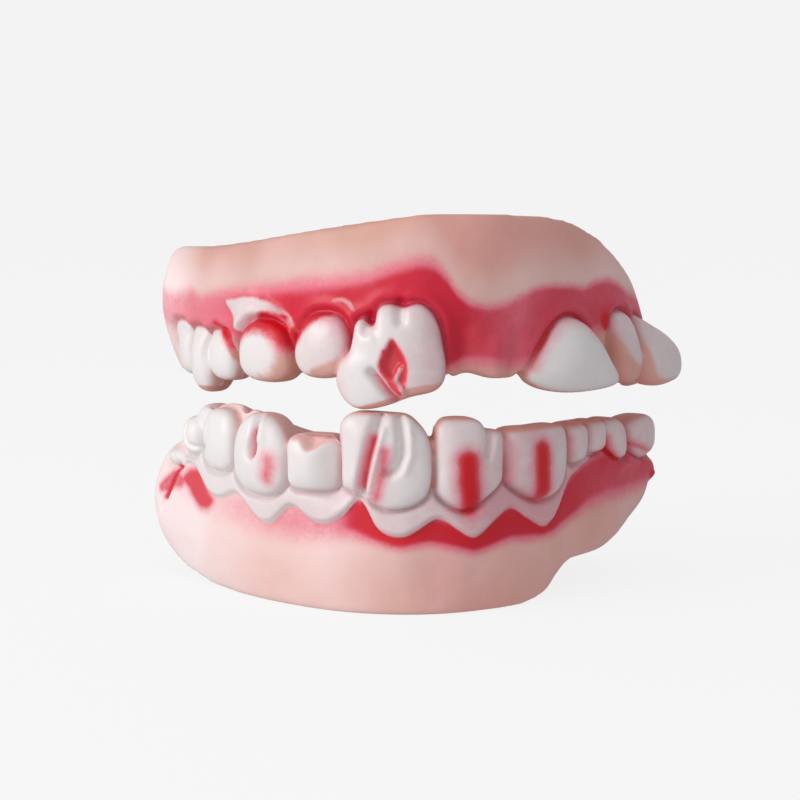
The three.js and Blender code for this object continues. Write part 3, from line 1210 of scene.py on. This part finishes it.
@dataclass(frozen=True)
class Studio:
    """The pale floor, the soft lights and the camera, in metres and degrees."""

    target: tuple[float, float, float] = (-0.0029, -0.0021, 0.0242)
    distance: float = 0.26
    azimuth: float = -2.0
    elevation: float = 7.0
    lens: float = 94.0
    seen_from: float = 0.01
    seen_to: float = 50.0
    light_distance: float = 0.5
    pale: float = 0.896
    floor_size: float = 6.0
    floor_shade: float = 0.12
    ambient: Colour = (0.51, 0.515, 0.535, 1.0)
    ambient_low: Colour = (0.43, 0.43, 0.44, 1.0)
    ambient_range: Range = (-0.6, 0.6)

    def aim(self, thing: bpy.types.Object, azimuth: float, elevation: float, distance: float) -> None:
        """Puts a camera or light on the scene, facing the object.

        Args:
            thing: The camera or light.
            azimuth: Degrees round the object, 0 in front and negative on the left.
            elevation: Degrees above the object.
            distance: Metres from the object.
        """
        turn, rise = math.radians(azimuth), math.radians(elevation)
        back = Vector((math.sin(turn) * math.cos(rise), -math.cos(turn) * math.cos(rise), math.sin(rise)))
        bpy.context.scene.collection.objects.link(thing)
        thing.location = Vector(self.target) + back * distance
        thing.rotation_euler = (-back).to_track_quat("-Z", "Y").to_euler()

    def camera(self) -> None:
        """The camera at the photograph's viewing angle."""
        data = bpy.data.cameras.new("camera")
        data.lens = self.lens
        data.clip_start, data.clip_end = self.seen_from, self.seen_to
        view = bpy.data.objects.new("camera", data)
        self.aim(view, self.azimuth, self.elevation, self.distance)
        bpy.context.scene.camera = view

    def light(self, box: Softbox) -> None:
        """Hangs one soft light."""
        data = bpy.data.lights.new(box.name, "AREA")
        data.size, data.energy, data.color = box.size, box.power, box.colour
        self.aim(bpy.data.objects.new(box.name, data), box.azimuth, box.elevation, self.light_distance)

    def floor(self) -> None:
        """A plain pale floor that runs out of sight."""
        bpy.ops.object.select_all(action="DESELECT")
        bpy.ops.mesh.primitive_plane_add(size=self.floor_size)
        floor = bpy.context.object
        floor.name = "floor"
        made = bpy.data.materials.new("pale_floor")
        made.use_nodes = True
        sheet = NodeSheet(made.node_tree)
        shade = self.floor_shade
        glow = self.pale - shade * self.ambient[1]
        lit = sheet.make("ShaderNodeEmission", None, {"Color": (glow, glow, glow, 1.0)})
        matt = sheet.make("ShaderNodeBsdfDiffuse", None, {"Color": (shade, shade, shade, 1.0)})
        both = sheet.make("ShaderNodeAddShader", None, {0: lit.outputs[0], 1: matt.outputs[0]})
        sheet.make("ShaderNodeOutputMaterial", None, {"Surface": both.outputs[0]})
        floor.data.materials.append(made)
        floor.visible_diffuse = floor.visible_glossy = floor.visible_shadow = False

    def surroundings(self) -> None:
        """Pale surroundings to look at, and a dimmer cool glow, brighter above, to light the object."""
        world = bpy.data.worlds.new("studio")
        world.use_nodes = True
        bpy.context.scene.world = world
        sheet = NodeSheet(world.node_tree)
        seen = sheet.make("ShaderNodeLightPath").outputs["Is Camera Ray"]
        way = sheet.make("ShaderNodeTexCoord").outputs["Generated"]
        height = Value(sheet, sheet.make("ShaderNodeSeparateXYZ", None, {0: way}).outputs["Z"])
        glow = sheet.mix(height.step(*self.ambient_range), self.ambient_low, self.ambient)
        colour = sheet.mix(seen, glow, (self.pale, self.pale, self.pale, 1.0))
        back = sheet.make("ShaderNodeBackground", None, {"Color": colour})
        sheet.make("ShaderNodeOutputWorld", None, {"Surface": back.outputs[0]})

    def build(self) -> None:
        """Sets the whole studio up."""
        self.camera()
        self.floor()
        self.surroundings()
        for box in LIGHTS:
            self.light(box)
        bpy.context.scene.view_settings.view_transform = "Standard"


# Heights of the gum along each row, from its left end to its right one
LOWER_SECTIONS = (
    Section(-48.5, 8.5, 4.0, 14.6, 15.4, 1.4),
    Section(-44.5, 3.6, 2.0, 16.4, 16.8, 1.4),
    Section(-39.5, 1.5, 0.0, 18.6, 18.0, 1.2),
    Section(-36.5, 1.0, 0.0, 21.6, 18.6, 1.1),
    Section(-32.0, 0.2, 0.0, 23.6, 19.0, 1.0),
    Section(-27.5, 0.0, 0.0, 24.2, 19.0, 0.9),
    Section(-23.0, 0.0, 0.0, 23.7, 19.0, 0.8),
    Section(-19.5, 0.0, 0.0, 22.8, 19.0, 0.7),
    Section(-16.4, 0.0, 0.0, 21.6, 19.0, 0.7),
    Section(-11.0, 0.0, 0.0, 21.3, 19.0, 0.6),
    Section(0.0, 0.0, 0.0, 22.6, 19.0, 0.6),
    Section(17.0, 0.0, 0.0, 21.6, 19.0, 0.7),
    Section(20.5, 1.0, 0.0, 21.4, 19.0, 0.8),
    Section(25.0, 4.5, 0.0, 21.0, 19.0, 0.9),
    Section(33.0, 4.5, 0.0, 20.6, 19.0, 1.1),
    Section(38.0, 5.6, 0.0, 20.4, 19.0, 1.2),
    Section(48.5, 10.0, 4.0, 20.0, 19.0, 1.2),
)

UPPER_SECTIONS = (
    Section(-48.5, 41.8, 40.0, 26.4, 28.8, 1.9),
    Section(-44.5, 42.8, 40.6, 26.2, 28.8, 1.9),
    Section(-35.0, 43.2, 41.6, 26.2, 28.8, 1.5),
    Section(-27.0, 44.1, 42.8, 27.6, 29.0, 0.6),
    Section(-19.0, 45.3, 43.6, 28.0, 29.0, 0.6),
    Section(-9.0, 46.8, 44.4, 28.0, 29.0, 0.6),
    Section(-1.0, 47.9, 45.0, 27.4, 29.0, 0.7),
    Section(2.2, 47.9, 44.9, 27.9, 29.0, 0.7),
    Section(4.2, 47.9, 44.8, 29.3, 29.2, 0.7),
    Section(8.0, 47.8, 44.7, 27.9, 29.0, 0.7),
    Section(10.8, 47.7, 44.6, 28.0, 29.0, 0.7),
    Section(15.0, 47.5, 44.0, 28.0, 29.0, 0.6),
    Section(20.0, 46.7, 43.4, 27.6, 29.0, 0.6),
    Section(26.0, 44.5, 42.0, 27.2, 28.8, 0.5),
    Section(30.0, 42.2, 40.6, 26.9, 28.7, 0.4),
    Section(33.5, 39.9, 39.4, 26.7, 28.6, 0.4),
    Section(35.8, 38.2, 38.8, 26.6, 28.6, 0.3),
    Section(37.2, 35.2, 37.2, 26.5, 28.6, 0.3),
    Section(39.0, 32.4, 35.6, 26.4, 28.5, 0.3),
    Section(43.0, 30.8, 33.6, 26.2, 28.4, 0.3),
    Section(48.5, 29.4, 32.0, 26.0, 28.0, 0.3),
)

# The broken front tooth's left side, which its outline and its white share
BROKEN_LEFT_SIDE = (
    (-11.1, 27.4), (-11.2, 28.9), (-10.7, 30.4), (-9.6, 31.9), (-9.2, 33.4), (-8.9, 35.0), (-8.0, 35.6),
    (-7.1, 34.8), (-6.5, 35.2), (-6.2, 36.8),
)

# The teeth of each row, from left to right
LOWER_TEETH = (
    Tooth("rear_left", rounded_outline(-40.2, 14.5, 17.0, 6.0, 5.4, square=0.8), proud=0.4, bare=0.0),
    Tooth("molar_left", rounded_outline(-34.8, 16.6, 21.7, 4.8, 4.4, square=0.75), proud=1.4, bare=0.0),
    Tooth("molar_left_cusp", rounded_outline(-32.6, 18.0, 23.3, 5.6, 5.6), proud=0.2, bare=0.3),
    Tooth(
        "premolar_left",
        rounded_outline(-28.2, 15.4, 23.3, 6.9, 6.4, square=0.68),
        proud=1.9,
        flat=0.25,
        bare=0.1,
    ),
    Tooth(
        "canine_left",
        rounded_outline(-20.2, 13.4, 23.5, 10.0, 8.4, square=0.8),
        proud=2.3,
        flat=0.27,
        bare=0.1,
    ),
    Tooth(
        "square_chipped",
        rounded_outline(-12.2, 14.7, 21.6, 6.6, 6.8, square=0.45),
        proud=1.9,
        flat=0.2,
        turn=-0.5,
        white=(
            (-16.4, 14.0), (-16.4, 20.6), (-14.2, 20.7), (-13.5, 20.8), (-12.2, 19.6), (-10.3, 20.6),
            (-8.0, 20.5), (-8.0, 14.0),
        ),
    ),
    Tooth(
        "broad_lobed",
        (
            (-8.6, 17.8), (-8.6, 20.8), (-8.4, 23.2), (-7.3, 24.4), (-5.7, 24.6), (-2.5, 24.5),
            (-0.6, 24.3), (0.6, 23.5), (1.7, 22.1), (2.3, 19.8), (2.4, 17.1), (1.8, 14.9), (0.5, 13.7),
            (-1.3, 13.1), (-3.1, 13.1), (-4.7, 14.0), (-6.8, 15.0), (-8.4, 15.8),
        ),
        proud=2.4,
        flat=0.22,
        bare=0.25,
    ),
    Tooth(
        "stepped_incisor",
        (
            (2.5, 18.0), (2.6, 21.4), (2.8, 22.9), (3.6, 23.7), (4.9, 23.9), (7.0, 23.8), (8.0, 23.4),
            (8.6, 22.6), (9.4, 22.3), (10.7, 22.1), (11.1, 21.4), (11.1, 17.5), (10.7, 15.6),
            (8.1, 13.5), (6.4, 12.7), (4.9, 13.1), (3.6, 14.0), (2.7, 15.2),
        ),
        proud=2.3,
        flat=0.22,
        bare=0.25,
    ),
    Tooth(
        "square_right",
        (
            (11.3, 17.5), (11.3, 20.9), (12.3, 22.1), (16.3, 22.1), (20.5, 22.0), (21.5, 20.9),
            (21.6, 17.5), (20.8, 14.6), (18.7, 13.1), (15.8, 13.2), (13.0, 14.6), (11.7, 15.8),
        ),
        proud=2.2,
        flat=0.22,
        bare=0.35,
    ),
    Tooth("premolar_right", rounded_outline(24.6, 16.5, 21.7, 4.4, 4.6), proud=1.5, flat=0.25, bare=0.3),
    Tooth(
        "premolar_right_rear",
        rounded_outline(29.1, 17.3, 21.6, 4.2, 4.4),
        proud=1.5,
        flat=0.25,
        bare=0.3,
    ),
    Tooth(
        "molar_right",
        rounded_outline(34.0, 15.8, 21.4, 4.8, 5.6, lean=-2.2, square=0.7),
        proud=1.6,
        flat=0.25,
        bare=0.1,
    ),
    Tooth(
        "rear_right",
        rounded_outline(42.2, 15.2, 20.8, 8.0, 9.4, lean=-1.5),
        proud=1.8,
        flat=0.25,
        bare=0.2,
    ),
)

UPPER_TEETH = (
    Tooth(
        "rear_left",
        rounded_outline(-41.0, 33.5, 26.3, 4.8, 4.8, square=0.7),
        proud=1.3,
        margin=0.6,
        bare=0.2,
    ),
    Tooth(
        "molar_left",
        rounded_outline(-36.7, 33.0, 24.5, 4.9, 4.6, square=0.7),
        proud=1.6,
        margin=0.6,
        bare=0.9,
    ),
    Tooth(
        "premolar_left",
        rounded_outline(-32.1, 32.9, 26.4, 5.6, 5.6, square=0.7),
        proud=1.5,
        margin=0.7,
        white=((-34.8, 32.0), (-32.6, 32.8), (-30.7, 31.6), (-29.8, 29.8), (-29.6, 27.1), (-34.8, 26.8)),
    ),
    Tooth(
        "sunken_left",
        rounded_outline(-23.1, 34.7, 27.0, 8.0, 10.3, square=0.75),
        proud=2.1,
        flat=0.27,
        margin=1.7,
        blush=0.45,
        white=(
            (-30.0, 30.6), (-26.8, 31.8), (-25.2, 32.7), (-23.3, 33.2), (-21.7, 32.9), (-20.6, 32.0),
            (-20.1, 30.6), (-20.4, 29.2), (-21.6, 28.2), (-23.4, 27.5), (-26.4, 27.3), (-30.0, 27.4),
        ),
        soft=4.5,
    ),
    Tooth(
        "egg_left",
        rounded_outline(-13.6, 36.1, 28.1, 6.8, 8.2, lean=-0.9, square=0.82),
        proud=2.2,
        flat=0.27,
        margin=0.7,
        furrow=0.28,
        blush=0.4,
        white=(
            (-19.4, 30.6), (-16.4, 32.2), (-15.4, 33.6), (-13.9, 35.1), (-12.0, 35.8), (-10.7, 35.3),
            (-9.7, 34.4), (-9.2, 33.0), (-9.9, 31.5), (-11.0, 30.7), (-12.5, 30.1), (-14.2, 29.3),
            (-15.3, 28.5), (-19.0, 28.4),
        ),
        soft=2.2,
    ),
    Tooth(
        "broken_incisor",
        (
            *BROKEN_LEFT_SIDE,
            (-5.1, 37.4), (-3.4, 37.1), (-1.9, 37.5), (-0.6, 37.0), (0.6, 35.3), (1.2, 32.8), (1.6, 30.2),
            (1.4, 28.4), (0.3, 27.1), (-2.5, 26.4), (-4.8, 25.5), (-6.8, 24.95), (-8.6, 24.85),
            (-10.1, 25.7),
        ),
        proud=2.5,
        flat=0.22,
        turn=-0.5,
        margin=0.5,
        furrow=0.28,
        blush=0.1,
        white=(
            *BROKEN_LEFT_SIDE,
            (-5.1, 37.3), (-3.4, 36.9), (-1.9, 37.3), (-0.6, 36.8), (0.5, 35.2), (1.1, 32.8), (1.5, 30.2),
            (1.2, 28.3), (-1.2, 27.9), (-3.0, 27.4), (-4.4, 26.5), (-6.6, 25.7), (-8.6, 25.2),
            (-10.1, 25.8),
        ),
    ),
    Tooth(
        "broad_right",
        (
            (15.8, 33.8), (17.2, 35.0), (19.1, 35.2), (20.8, 34.6), (22.3, 33.4), (23.9, 31.6),
            (25.4, 29.4), (27.0, 26.9), (25.8, 26.1), (21.2, 25.8), (17.7, 26.0), (14.8, 26.7),
            (12.9, 28.0), (13.5, 29.8), (14.6, 32.0),
        ),
        proud=2.5,
        flat=0.36,
        turn=1.5,
        margin=0.6,
        blush=0.3,
        white=(
            (16.3, 33.9), (17.5, 34.9), (19.1, 35.1), (20.8, 34.5), (22.3, 33.3), (23.9, 31.5),
            (25.4, 29.3), (26.9, 26.9), (25.8, 26.2), (21.2, 25.9), (17.7, 26.1), (14.8, 26.8),
            (13.1, 28.0), (13.9, 30.0), (15.1, 32.0),
        ),
    ),
    Tooth(
        "leaning_right",
        rounded_outline(31.6, 35.3, 25.7, 5.6, 7.2, lean=4.0, square=0.75),
        proud=1.9,
        margin=0.7,
        soft=2.6,
        white=(
            (28.6, 35.7), (31.0, 35.3), (33.4, 33.8), (35.0, 31.6), (35.6, 29.6), (34.9, 28.4),
            (33.4, 28.2), (31.7, 28.8), (30.1, 30.2), (28.6, 32.0), (27.4, 33.6),
        ),
    ),
    Tooth(
        "rear_right",
        (
            (34.0, 34.4), (36.4, 33.5), (40.2, 32.2), (44.2, 30.6), (46.9, 28.8), (47.9, 27.0),
            (47.0, 25.2), (43.8, 24.8), (39.0, 24.9), (36.2, 26.2), (34.6, 30.0),
        ),
        proud=2.5,
        flare=0.7,
        white=(
            (32.0, 35.4), (36.4, 34.4), (40.2, 33.0), (46.0, 31.0), (50.0, 28.0), (49.0, 25.6),
            (43.0, 25.5), (38.2, 26.2), (36.6, 28.4), (35.2, 31.0), (33.8, 33.0),
        ),
        soft=2.2,
    ),
    Tooth("rear_right_cusp", rounded_outline(41.6, 31.0, 24.3, 8.0, 7.0), proud=-1.6),
)

# The sprayed red along each row, from left to right
LOWER_BANDS = (
    Band(-48.0, 12.5, 16.0, 1.0, 0.0),
    Band(-38.0, 11.0, 15.5, 1.2, 0.25),
    Band(-30.0, 9.6, 13.5, 1.6, 0.3),
    Band(-24.0, 8.8, 13.0, 1.6, 0.42),
    Band(-16.0, 8.6, 12.8, 1.5, 0.55),
    Band(-9.5, 9.2, 12.4, 1.3, 0.62),
    Band(-7.2, 9.8, 14.2, 1.1, 0.95),
    Band(-4.3, 9.0, 14.4, 0.9, 1.0),
    Band(-1.4, 8.3, 10.8, 0.8, 1.0),
    Band(2.1, 8.8, 12.4, 0.8, 1.0),
    Band(5.1, 8.1, 11.6, 0.8, 1.0),
    Band(7.7, 7.4, 11.0, 0.8, 1.0),
    Band(12.6, 8.6, 13.0, 0.8, 1.0),
    Band(15.8, 8.3, 12.0, 0.9, 1.0),
    Band(19.4, 8.4, 11.6, 0.9, 1.0),
    Band(23.4, 9.8, 15.4, 1.0, 0.95),
    Band(26.7, 11.0, 16.6, 1.2, 0.9),
    Band(31.8, 11.4, 17.6, 1.3, 0.9),
    Band(39.2, 11.2, 17.2, 1.3, 0.88),
    Band(47.2, 11.4, 16.0, 1.0, 0.85),
)

UPPER_BANDS = (
    Band(-48.0, 37.6, 33.0, 0.9, 0.48),
    Band(-46.8, 37.6, 33.0, 0.9, 0.5),
    Band(-41.7, 36.8, 32.4, 0.9, 0.55),
    Band(-37.5, 37.8, 32.0, 0.8, 0.6),
    Band(-35.8, 36.8, 32.0, 0.8, 0.6),
    Band(-31.4, 37.8, 31.6, 0.9, 0.7),
    Band(-24.1, 38.4, 32.6, 1.4, 0.92),
    Band(-18.7, 39.2, 31.2, 1.6, 0.94),
    Band(-14.6, 39.7, 31.6, 1.7, 0.95),
    Band(-11.0, 40.0, 31.6, 1.7, 0.98),
    Band(-7.4, 40.5, 29.8, 1.7, 1.0),
    Band(-5.0, 41.5, 29.8, 1.6, 1.0),
    Band(-1.5, 42.5, 29.8, 1.5, 1.0),
    Band(0.2, 42.1, 29.6, 1.4, 1.0),
    Band(1.6, 40.7, 29.6, 1.3, 1.0),
    Band(2.6, 38.9, 29.8, 1.0, 1.0),
    Band(4.3, 37.5, 30.4, 0.8, 0.9),
    Band(6.8, 37.0, 30.2, 0.8, 0.86),
    Band(8.8, 37.3, 29.8, 0.8, 0.82),
    Band(10.9, 38.1, 29.4, 0.7, 0.78),
    Band(13.1, 39.0, 30.0, 0.6, 0.84),
    Band(15.5, 39.2, 32.0, 0.6, 0.87),
    Band(19.0, 39.0, 32.0, 0.6, 0.87),
    Band(21.9, 38.6, 32.4, 0.6, 0.86),
    Band(24.0, 39.2, 33.0, 0.6, 0.88),
    Band(26.7, 39.4, 33.4, 0.6, 0.87),
    Band(29.5, 38.7, 33.0, 0.6, 0.86),
    Band(32.2, 37.4, 32.4, 0.6, 0.84),
    Band(35.5, 36.6, 32.6, 0.6, 0.8),
    Band(48.0, 34.8, 33.0, 0.8, 0.5),
)

# The two mouldings, with the marks and the paint that belong to each
LOWER_ROW = Row(
    name="lower_row",
    node="lower_moulding",
    side=Side.LOWER,
    middle_x=-2.0,
    channel_floor=16.8,
    sections=LOWER_SECTIONS,
    teeth=LOWER_TEETH,
    divides=(-37.4, -31.9, -25.1, -15.4, -9.0, 2.5, 11.1, 22.0, 26.9, 31.3, 37.2),
    carvings=(
        Carving(((-20.0, 23.2), (-20.0, 21.4), (-20.2, 19.9), (-20.4, 18.6)), 0.5, -1.2),
        Carving(((-19.0, 22.6), (-18.9, 20.6)), 0.6, 0.3),
        Carving(((-9.3, 20.6), (-9.2, 15.4)), 1.7, -1.0),
        Carving(((-3.5, 24.6), (-4.3, 21.6), (-4.9, 19.2), (-5.6, 15.2)), 0.55, -1.6),
        Carving(((-3.2, 22.8), (-3.8, 19.6), (-4.8, 15.4)), 0.32, 0.5),
        Carving(((-1.4, 24.4), (-1.1, 21.6), (-1.1, 19.8), (-1.7, 18.1), (-2.4, 17.6)), 0.5, -1.1),
        Carving(((-0.4, 22.8), (-0.3, 20.0), (-0.9, 18.0)), 0.5, 0.3),
        Carving(((9.0, 22.6), (8.8, 21.0), (8.4, 19.4)), 0.4, -0.8),
        Carving(((-38.9, 14.8), (-39.9, 13.0), (-41.2, 11.0), (-42.4, 9.0)), 0.45, -0.8),
        Carving(((31.8, 16.2), (34.8, 15.2), (37.7, 15.4), (41.4, 15.2), (44.9, 13.8)), 0.9, 0.7),
        Carving(((45.6, 12.6), (46.2, 12.2)), 0.8, 0.9),
        Carving(((-29.4, 9.0), (-29.0, 3.0)), 2.6, 0.25),
        Carving(((-15.8, 9.0), (-15.6, 4.0)), 2.2, -0.25),
        Carving(((2.6, 8.0), (2.6, 2.0)), 2.2, -0.2),
        Carving(((22.5, 9.0), (22.0, 3.0)), 2.0, -0.3),
    ),
    chips=(
        Chip(
            (
                (-15.0, 21.6), (-13.5, 20.9), (-12.2, 19.5), (-10.2, 20.7), (-9.0, 21.4), (-9.6, 23.4),
                (-14.6, 23.4),
            ),
            1.5,
            0.9,
        ),
        Chip(
            ((-20.1, 22.6), (-19.3, 20.4), (-19.5, 18.7), (-20.5, 18.0), (-20.9, 19.4), (-20.5, 21.0)),
            0.9,
            0.5,
        ),
    ),
    strokes=(
        Stroke(((6.0, 18.9), (6.1, 16.4), (6.7, 13.4)), 1.35, 1.5, 1.0),
        Stroke(((16.1, 19.4), (16.0, 17.0), (16.5, 14.3)), 1.3, 1.5, 1.0),
        Stroke(((-17.7, 18.2), (-17.6, 17.4), (-18.0, 16.0)), 1.0, 1.0, 0.56),
        Stroke(((-20.1, 21.4), (-20.3, 19.9), (-20.4, 18.5)), 0.32, 0.4, 0.85),
        Stroke(((-4.2, 21.6), (-4.8, 19.2), (-5.5, 15.8)), 0.45, 0.65, 0.78),
        Stroke(((-2.9, 20.2), (-3.2, 17.6), (-3.9, 14.6)), 0.65, 0.7, 0.6),
        Stroke(((-39.4, 14.6), (-40.5, 12.8), (-42.0, 10.2)), 0.25, 0.45, 1.0),
        Stroke(((31.2, 18.9), (31.9, 17.3), (32.9, 16.3), (34.2, 15.7)), 0.45, 0.7, 0.95),
        Stroke(((36.8, 19.2), (37.8, 17.6), (41.4, 16.4), (44.2, 15.4)), 0.45, 0.8, 0.7),
        Stroke(((22.6, 20.0), (22.9, 17.6)), 0.4, 0.7, 0.35),
        # A red veil down the square right tooth's left side: painted shade
        Stroke(((11.9, 20.4), (11.9, 16.0)), 0.4, 0.8, 0.4),
        Stroke(((45.4, 12.8), (46.4, 12.0)), 0.7, 0.6, 0.9),
        Stroke(
            ((-6.2, 13.0), (-5.2, 10.6), (-1.8, 9.0), (2.9, 10.8), (7.4, 8.6), (12.4, 11.4), (18.0, 9.0)),
            0.3,
            0.9,
            0.9,
        ),
    ),
    patches=(
        Patch(
            (
                (-37.6, 13.2), (-36.3, 14.5), (-34.5, 15.2), (-33.0, 15.1), (-31.8, 13.9), (-30.3, 12.5),
                (-29.2, 11.6), (-30.4, 10.3), (-32.7, 10.1), (-34.6, 11.3), (-35.8, 12.3),
            ),
            0.8,
            0.72,
        ),
        Patch(
            (
                (-43.8, 11.8), (-42.0, 13.2), (-39.8, 14.4), (-38.4, 14.2), (-37.0, 13.6), (-36.4, 12.8),
                (-37.6, 12.0), (-39.4, 11.8), (-41.4, 11.0), (-43.2, 10.8),
            ),
            0.6,
            0.62,
        ),
    ),
    bands=LOWER_BANDS,
    # Paler gum towards the left end where the light falls: painted light
    pale=(
        (-48.0, 1.0), (-38.0, 1.0), (-30.0, 0.85), (-20.0, 0.55), (-10.0, 0.48), (-2.0, 0.33),
        (4.0, 0.02), (48.0, -0.05),
    ),
    tan=((-48.0, 0.0), (-2.0, 0.0), (4.0, 0.08), (48.0, 0.1)),
    # Thinner white along the row: partly paint rubbed thin, partly painted shade where the teeth turn from
    # the light
    worn_and_shaded=(
        (-48.0, 0.05), (-28.0, 0.0), (-18.0, 0.08), (-8.0, 0.13), (1.0, 0.16), (5.0, 0.26), (10.0, 0.45),
        (14.0, 0.6), (17.0, 0.45), (48.0, 0.45),
    ),
    collar=(
        (-37.0, 15.0), (-35.0, 15.7), (-33.4, 15.2), (-29.6, 12.1), (-27.4, 11.9), (-24.6, 13.3),
        (-20.5, 9.9), (-18.5, 9.9), (-15.4, 12.9), (-12.2, 10.8), (-9.8, 10.8), (-7.2, 12.8),
        (-5.9, 15.4), (-4.8, 11.3), (-3.4, 9.9), (-0.7, 9.5), (3.0, 12.2), (7.4, 8.9), (12.4, 12.8),
        (16.9, 9.8), (18.8, 9.3), (22.2, 14.7), (29.6, 17.2),
    ),
    mist=0.08,
    papillae=(
        (-36.6, 18.0), (-31.6, 17.6), (-28.2, 15.6), (-25.1, 16.2), (-20.2, 13.0), (-15.4, 14.8),
        (-12.0, 14.4), (-8.8, 15.6), (-4.0, 13.4), (0.0, 13.0), (2.6, 15.0), (6.6, 12.6), (11.0, 15.2),
        (16.0, 13.0), (21.8, 16.4), (24.0, 16.4), (26.8, 17.5), (29.6, 18.0),
    ),
)

UPPER_ROW = Row(
    name="upper_row",
    node="upper_moulding",
    side=Side.UPPER,
    middle_x=0.4,
    channel_floor=31.6,
    sections=UPPER_SECTIONS,
    teeth=UPPER_TEETH,
    divides=(-38.9, -34.4, -29.2, -18.7, -10.6, 1.9, 12.4, 27.4, 36.2),
    carvings=(
        Carving(((-6.5, 29.4), (-5.4, 28.0), (-4.4, 26.6), (-3.6, 25.6)), 0.5, -1.3),
        Carving(((-3.5, 30.0), (-4.1, 28.6), (-3.0, 26.6)), 0.32, 0.8),
        Carving(((-3.7, 37.6), (-3.5, 35.4)), 0.55, -0.8),
        Carving(((-7.3, 36.0), (-7.3, 34.2)), 0.5, -0.7),
        Carving(((-21.0, 35.6), (-22.9, 36.9), (-24.7, 36.8), (-27.2, 35.4), (-29.0, 33.4)), 0.8, 0.5),
        Carving(((-29.4, 36.8), (-26.1, 37.8)), 1.4, 0.5),
        Carving(((3.6, 34.0), (4.1, 29.6)), 1.2, -0.5),
        Carving(((7.7, 31.5), (8.1, 28.6)), 1.4, 0.5),
        Carving(((11.0, 33.0), (10.8, 29.0)), 0.9, -0.45),
        Carving(((26.2, 33.0), (29.2, 28.0)), 0.9, -0.4),
    ),
    chips=(
        Chip(
            (
                (-4.3, 33.5), (-3.4, 32.1), (-2.7, 30.3), (-2.8, 28.4), (-3.6, 27.2), (-5.6, 29.3),
                (-5.7, 30.6), (-5.1, 32.2),
            ),
            1.1,
            0.9,
        ),
    ),
    strokes=(
        Stroke(((-6.2, 29.1), (-5.1, 27.5), (-4.2, 26.4)), 0.25, 0.35, 0.75),
        Stroke(((-5.2, 32.0), (-5.7, 30.0)), 0.15, 0.35, 0.95),
        Stroke(((-32.4, 33.6), (-30.9, 32.4), (-29.7, 30.9)), 0.5, 0.6, 0.72),
        Stroke(((-26.4, 32.4), (-25.2, 33.6), (-23.4, 34.4)), 0.5, 0.7, 0.5),
        Stroke(((-23.4, 34.4), (-21.4, 34.4), (-19.9, 33.6)), 0.6, 0.8, 0.7),
        # A faint red veil over the egg tooth's right side: painted shade
        Stroke(((-10.4, 34.8), (-9.7, 31.6)), 0.7, 0.9, 0.3),
        Stroke(((-17.8, 34.0), (-18.2, 31.4)), 0.5, 0.9, 0.75),
        Stroke(((15.4, 33.4), (14.3, 31.0), (13.5, 29.4)), 0.5, 1.0, 0.6),
        Stroke(((26.2, 34.6), (27.0, 33.4)), 0.7, 0.7, 0.85),
    ),
    patches=(
        Patch(
            (
                (-4.3, 33.5), (-3.3, 32.1), (-2.6, 30.3), (-2.7, 28.7), (-3.0, 27.2), (-3.6, 26.5),
                (-4.6, 27.4), (-5.7, 29.2), (-5.8, 30.5), (-5.1, 32.2),
            ),
            0.3,
            0.74,
        ),
    ),
    # Red cleared off along lines in the broken incisor's chip, so the white shows as painted highlights
    highlight_wipes=(
        Stroke(((-3.5, 29.8), (-4.0, 28.6), (-3.4, 27.6), (-2.9, 26.7)), 0.12, 0.22, 0.85),
        Stroke(((-6.1, 29.6), (-4.9, 28.2)), 0.05, 0.2, 0.6),
    ),
    bands=UPPER_BANDS,
    # Paler gum at the left end where the light falls: painted light
    pale=((-48.0, 0.75), (-43.0, 0.65), (-40.5, 0.5), (-36.5, -0.05), (48.0, -0.05)),
    tan=((-48.0, 0.6), (-24.0, 0.72), (-12.0, 0.72), (-4.0, 0.45), (4.0, 0.2), (48.0, 0.15)),
    # Thinner white along the row: partly paint rubbed thin, partly painted shade where the teeth turn from
    # the light
    worn_and_shaded=(
        (-48.0, 0.1), (-26.0, 0.0), (-21.0, 0.1), (-15.0, 0.28), (-10.5, 0.38), (-9.0, 0.06),
        (-4.0, 0.12), (0.0, 0.5), (3.0, 0.5), (12.0, 0.0), (24.0, 0.1), (28.0, 0.45), (34.0, 0.45),
        (38.0, 0.3), (48.0, 0.3),
    ),
    # White places on the gum rolls above the left teeth: painted highlights
    painted_highlights=(
        (
            (-29.8, 36.7), (-28.0, 36.9), (-25.8, 37.3), (-23.8, 37.2), (-22.0, 36.8), (-20.3, 36.1),
            (-19.0, 35.4), (-21.7, 35.8), (-23.3, 35.6), (-24.6, 34.9), (-25.9, 33.9), (-26.9, 32.7),
            (-27.8, 33.1), (-28.5, 34.2), (-29.4, 35.6),
        ),
        ((-19.2, 35.7), (-18.3, 34.7), (-17.3, 33.4), (-18.5, 34.4)),
        ((-12.1, 37.5), (-10.9, 37.8), (-10.0, 37.4), (-9.4, 36.5), (-10.1, 37.1), (-10.9, 37.5)),
    ),
    mist=0.4,
    mould=Mould(end_round=3.4, rim_tuck=0.3),
)


def main() -> None:
    """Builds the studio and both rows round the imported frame."""
    logging.basicConfig(level=logging.INFO, format="%(name)s: %(message)s")
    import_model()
    Studio().build()
    finish = PaintedRubber().material()
    for row in (LOWER_ROW, UPPER_ROW):
        body = row.build()
        row.dress(body, finish)
        triangles = sum(len(face.vertices) - 2 for face in body.data.polygons)
        log.info("%s built with %d triangles", body.name, triangles)


if __name__ == "__main__":
    main()
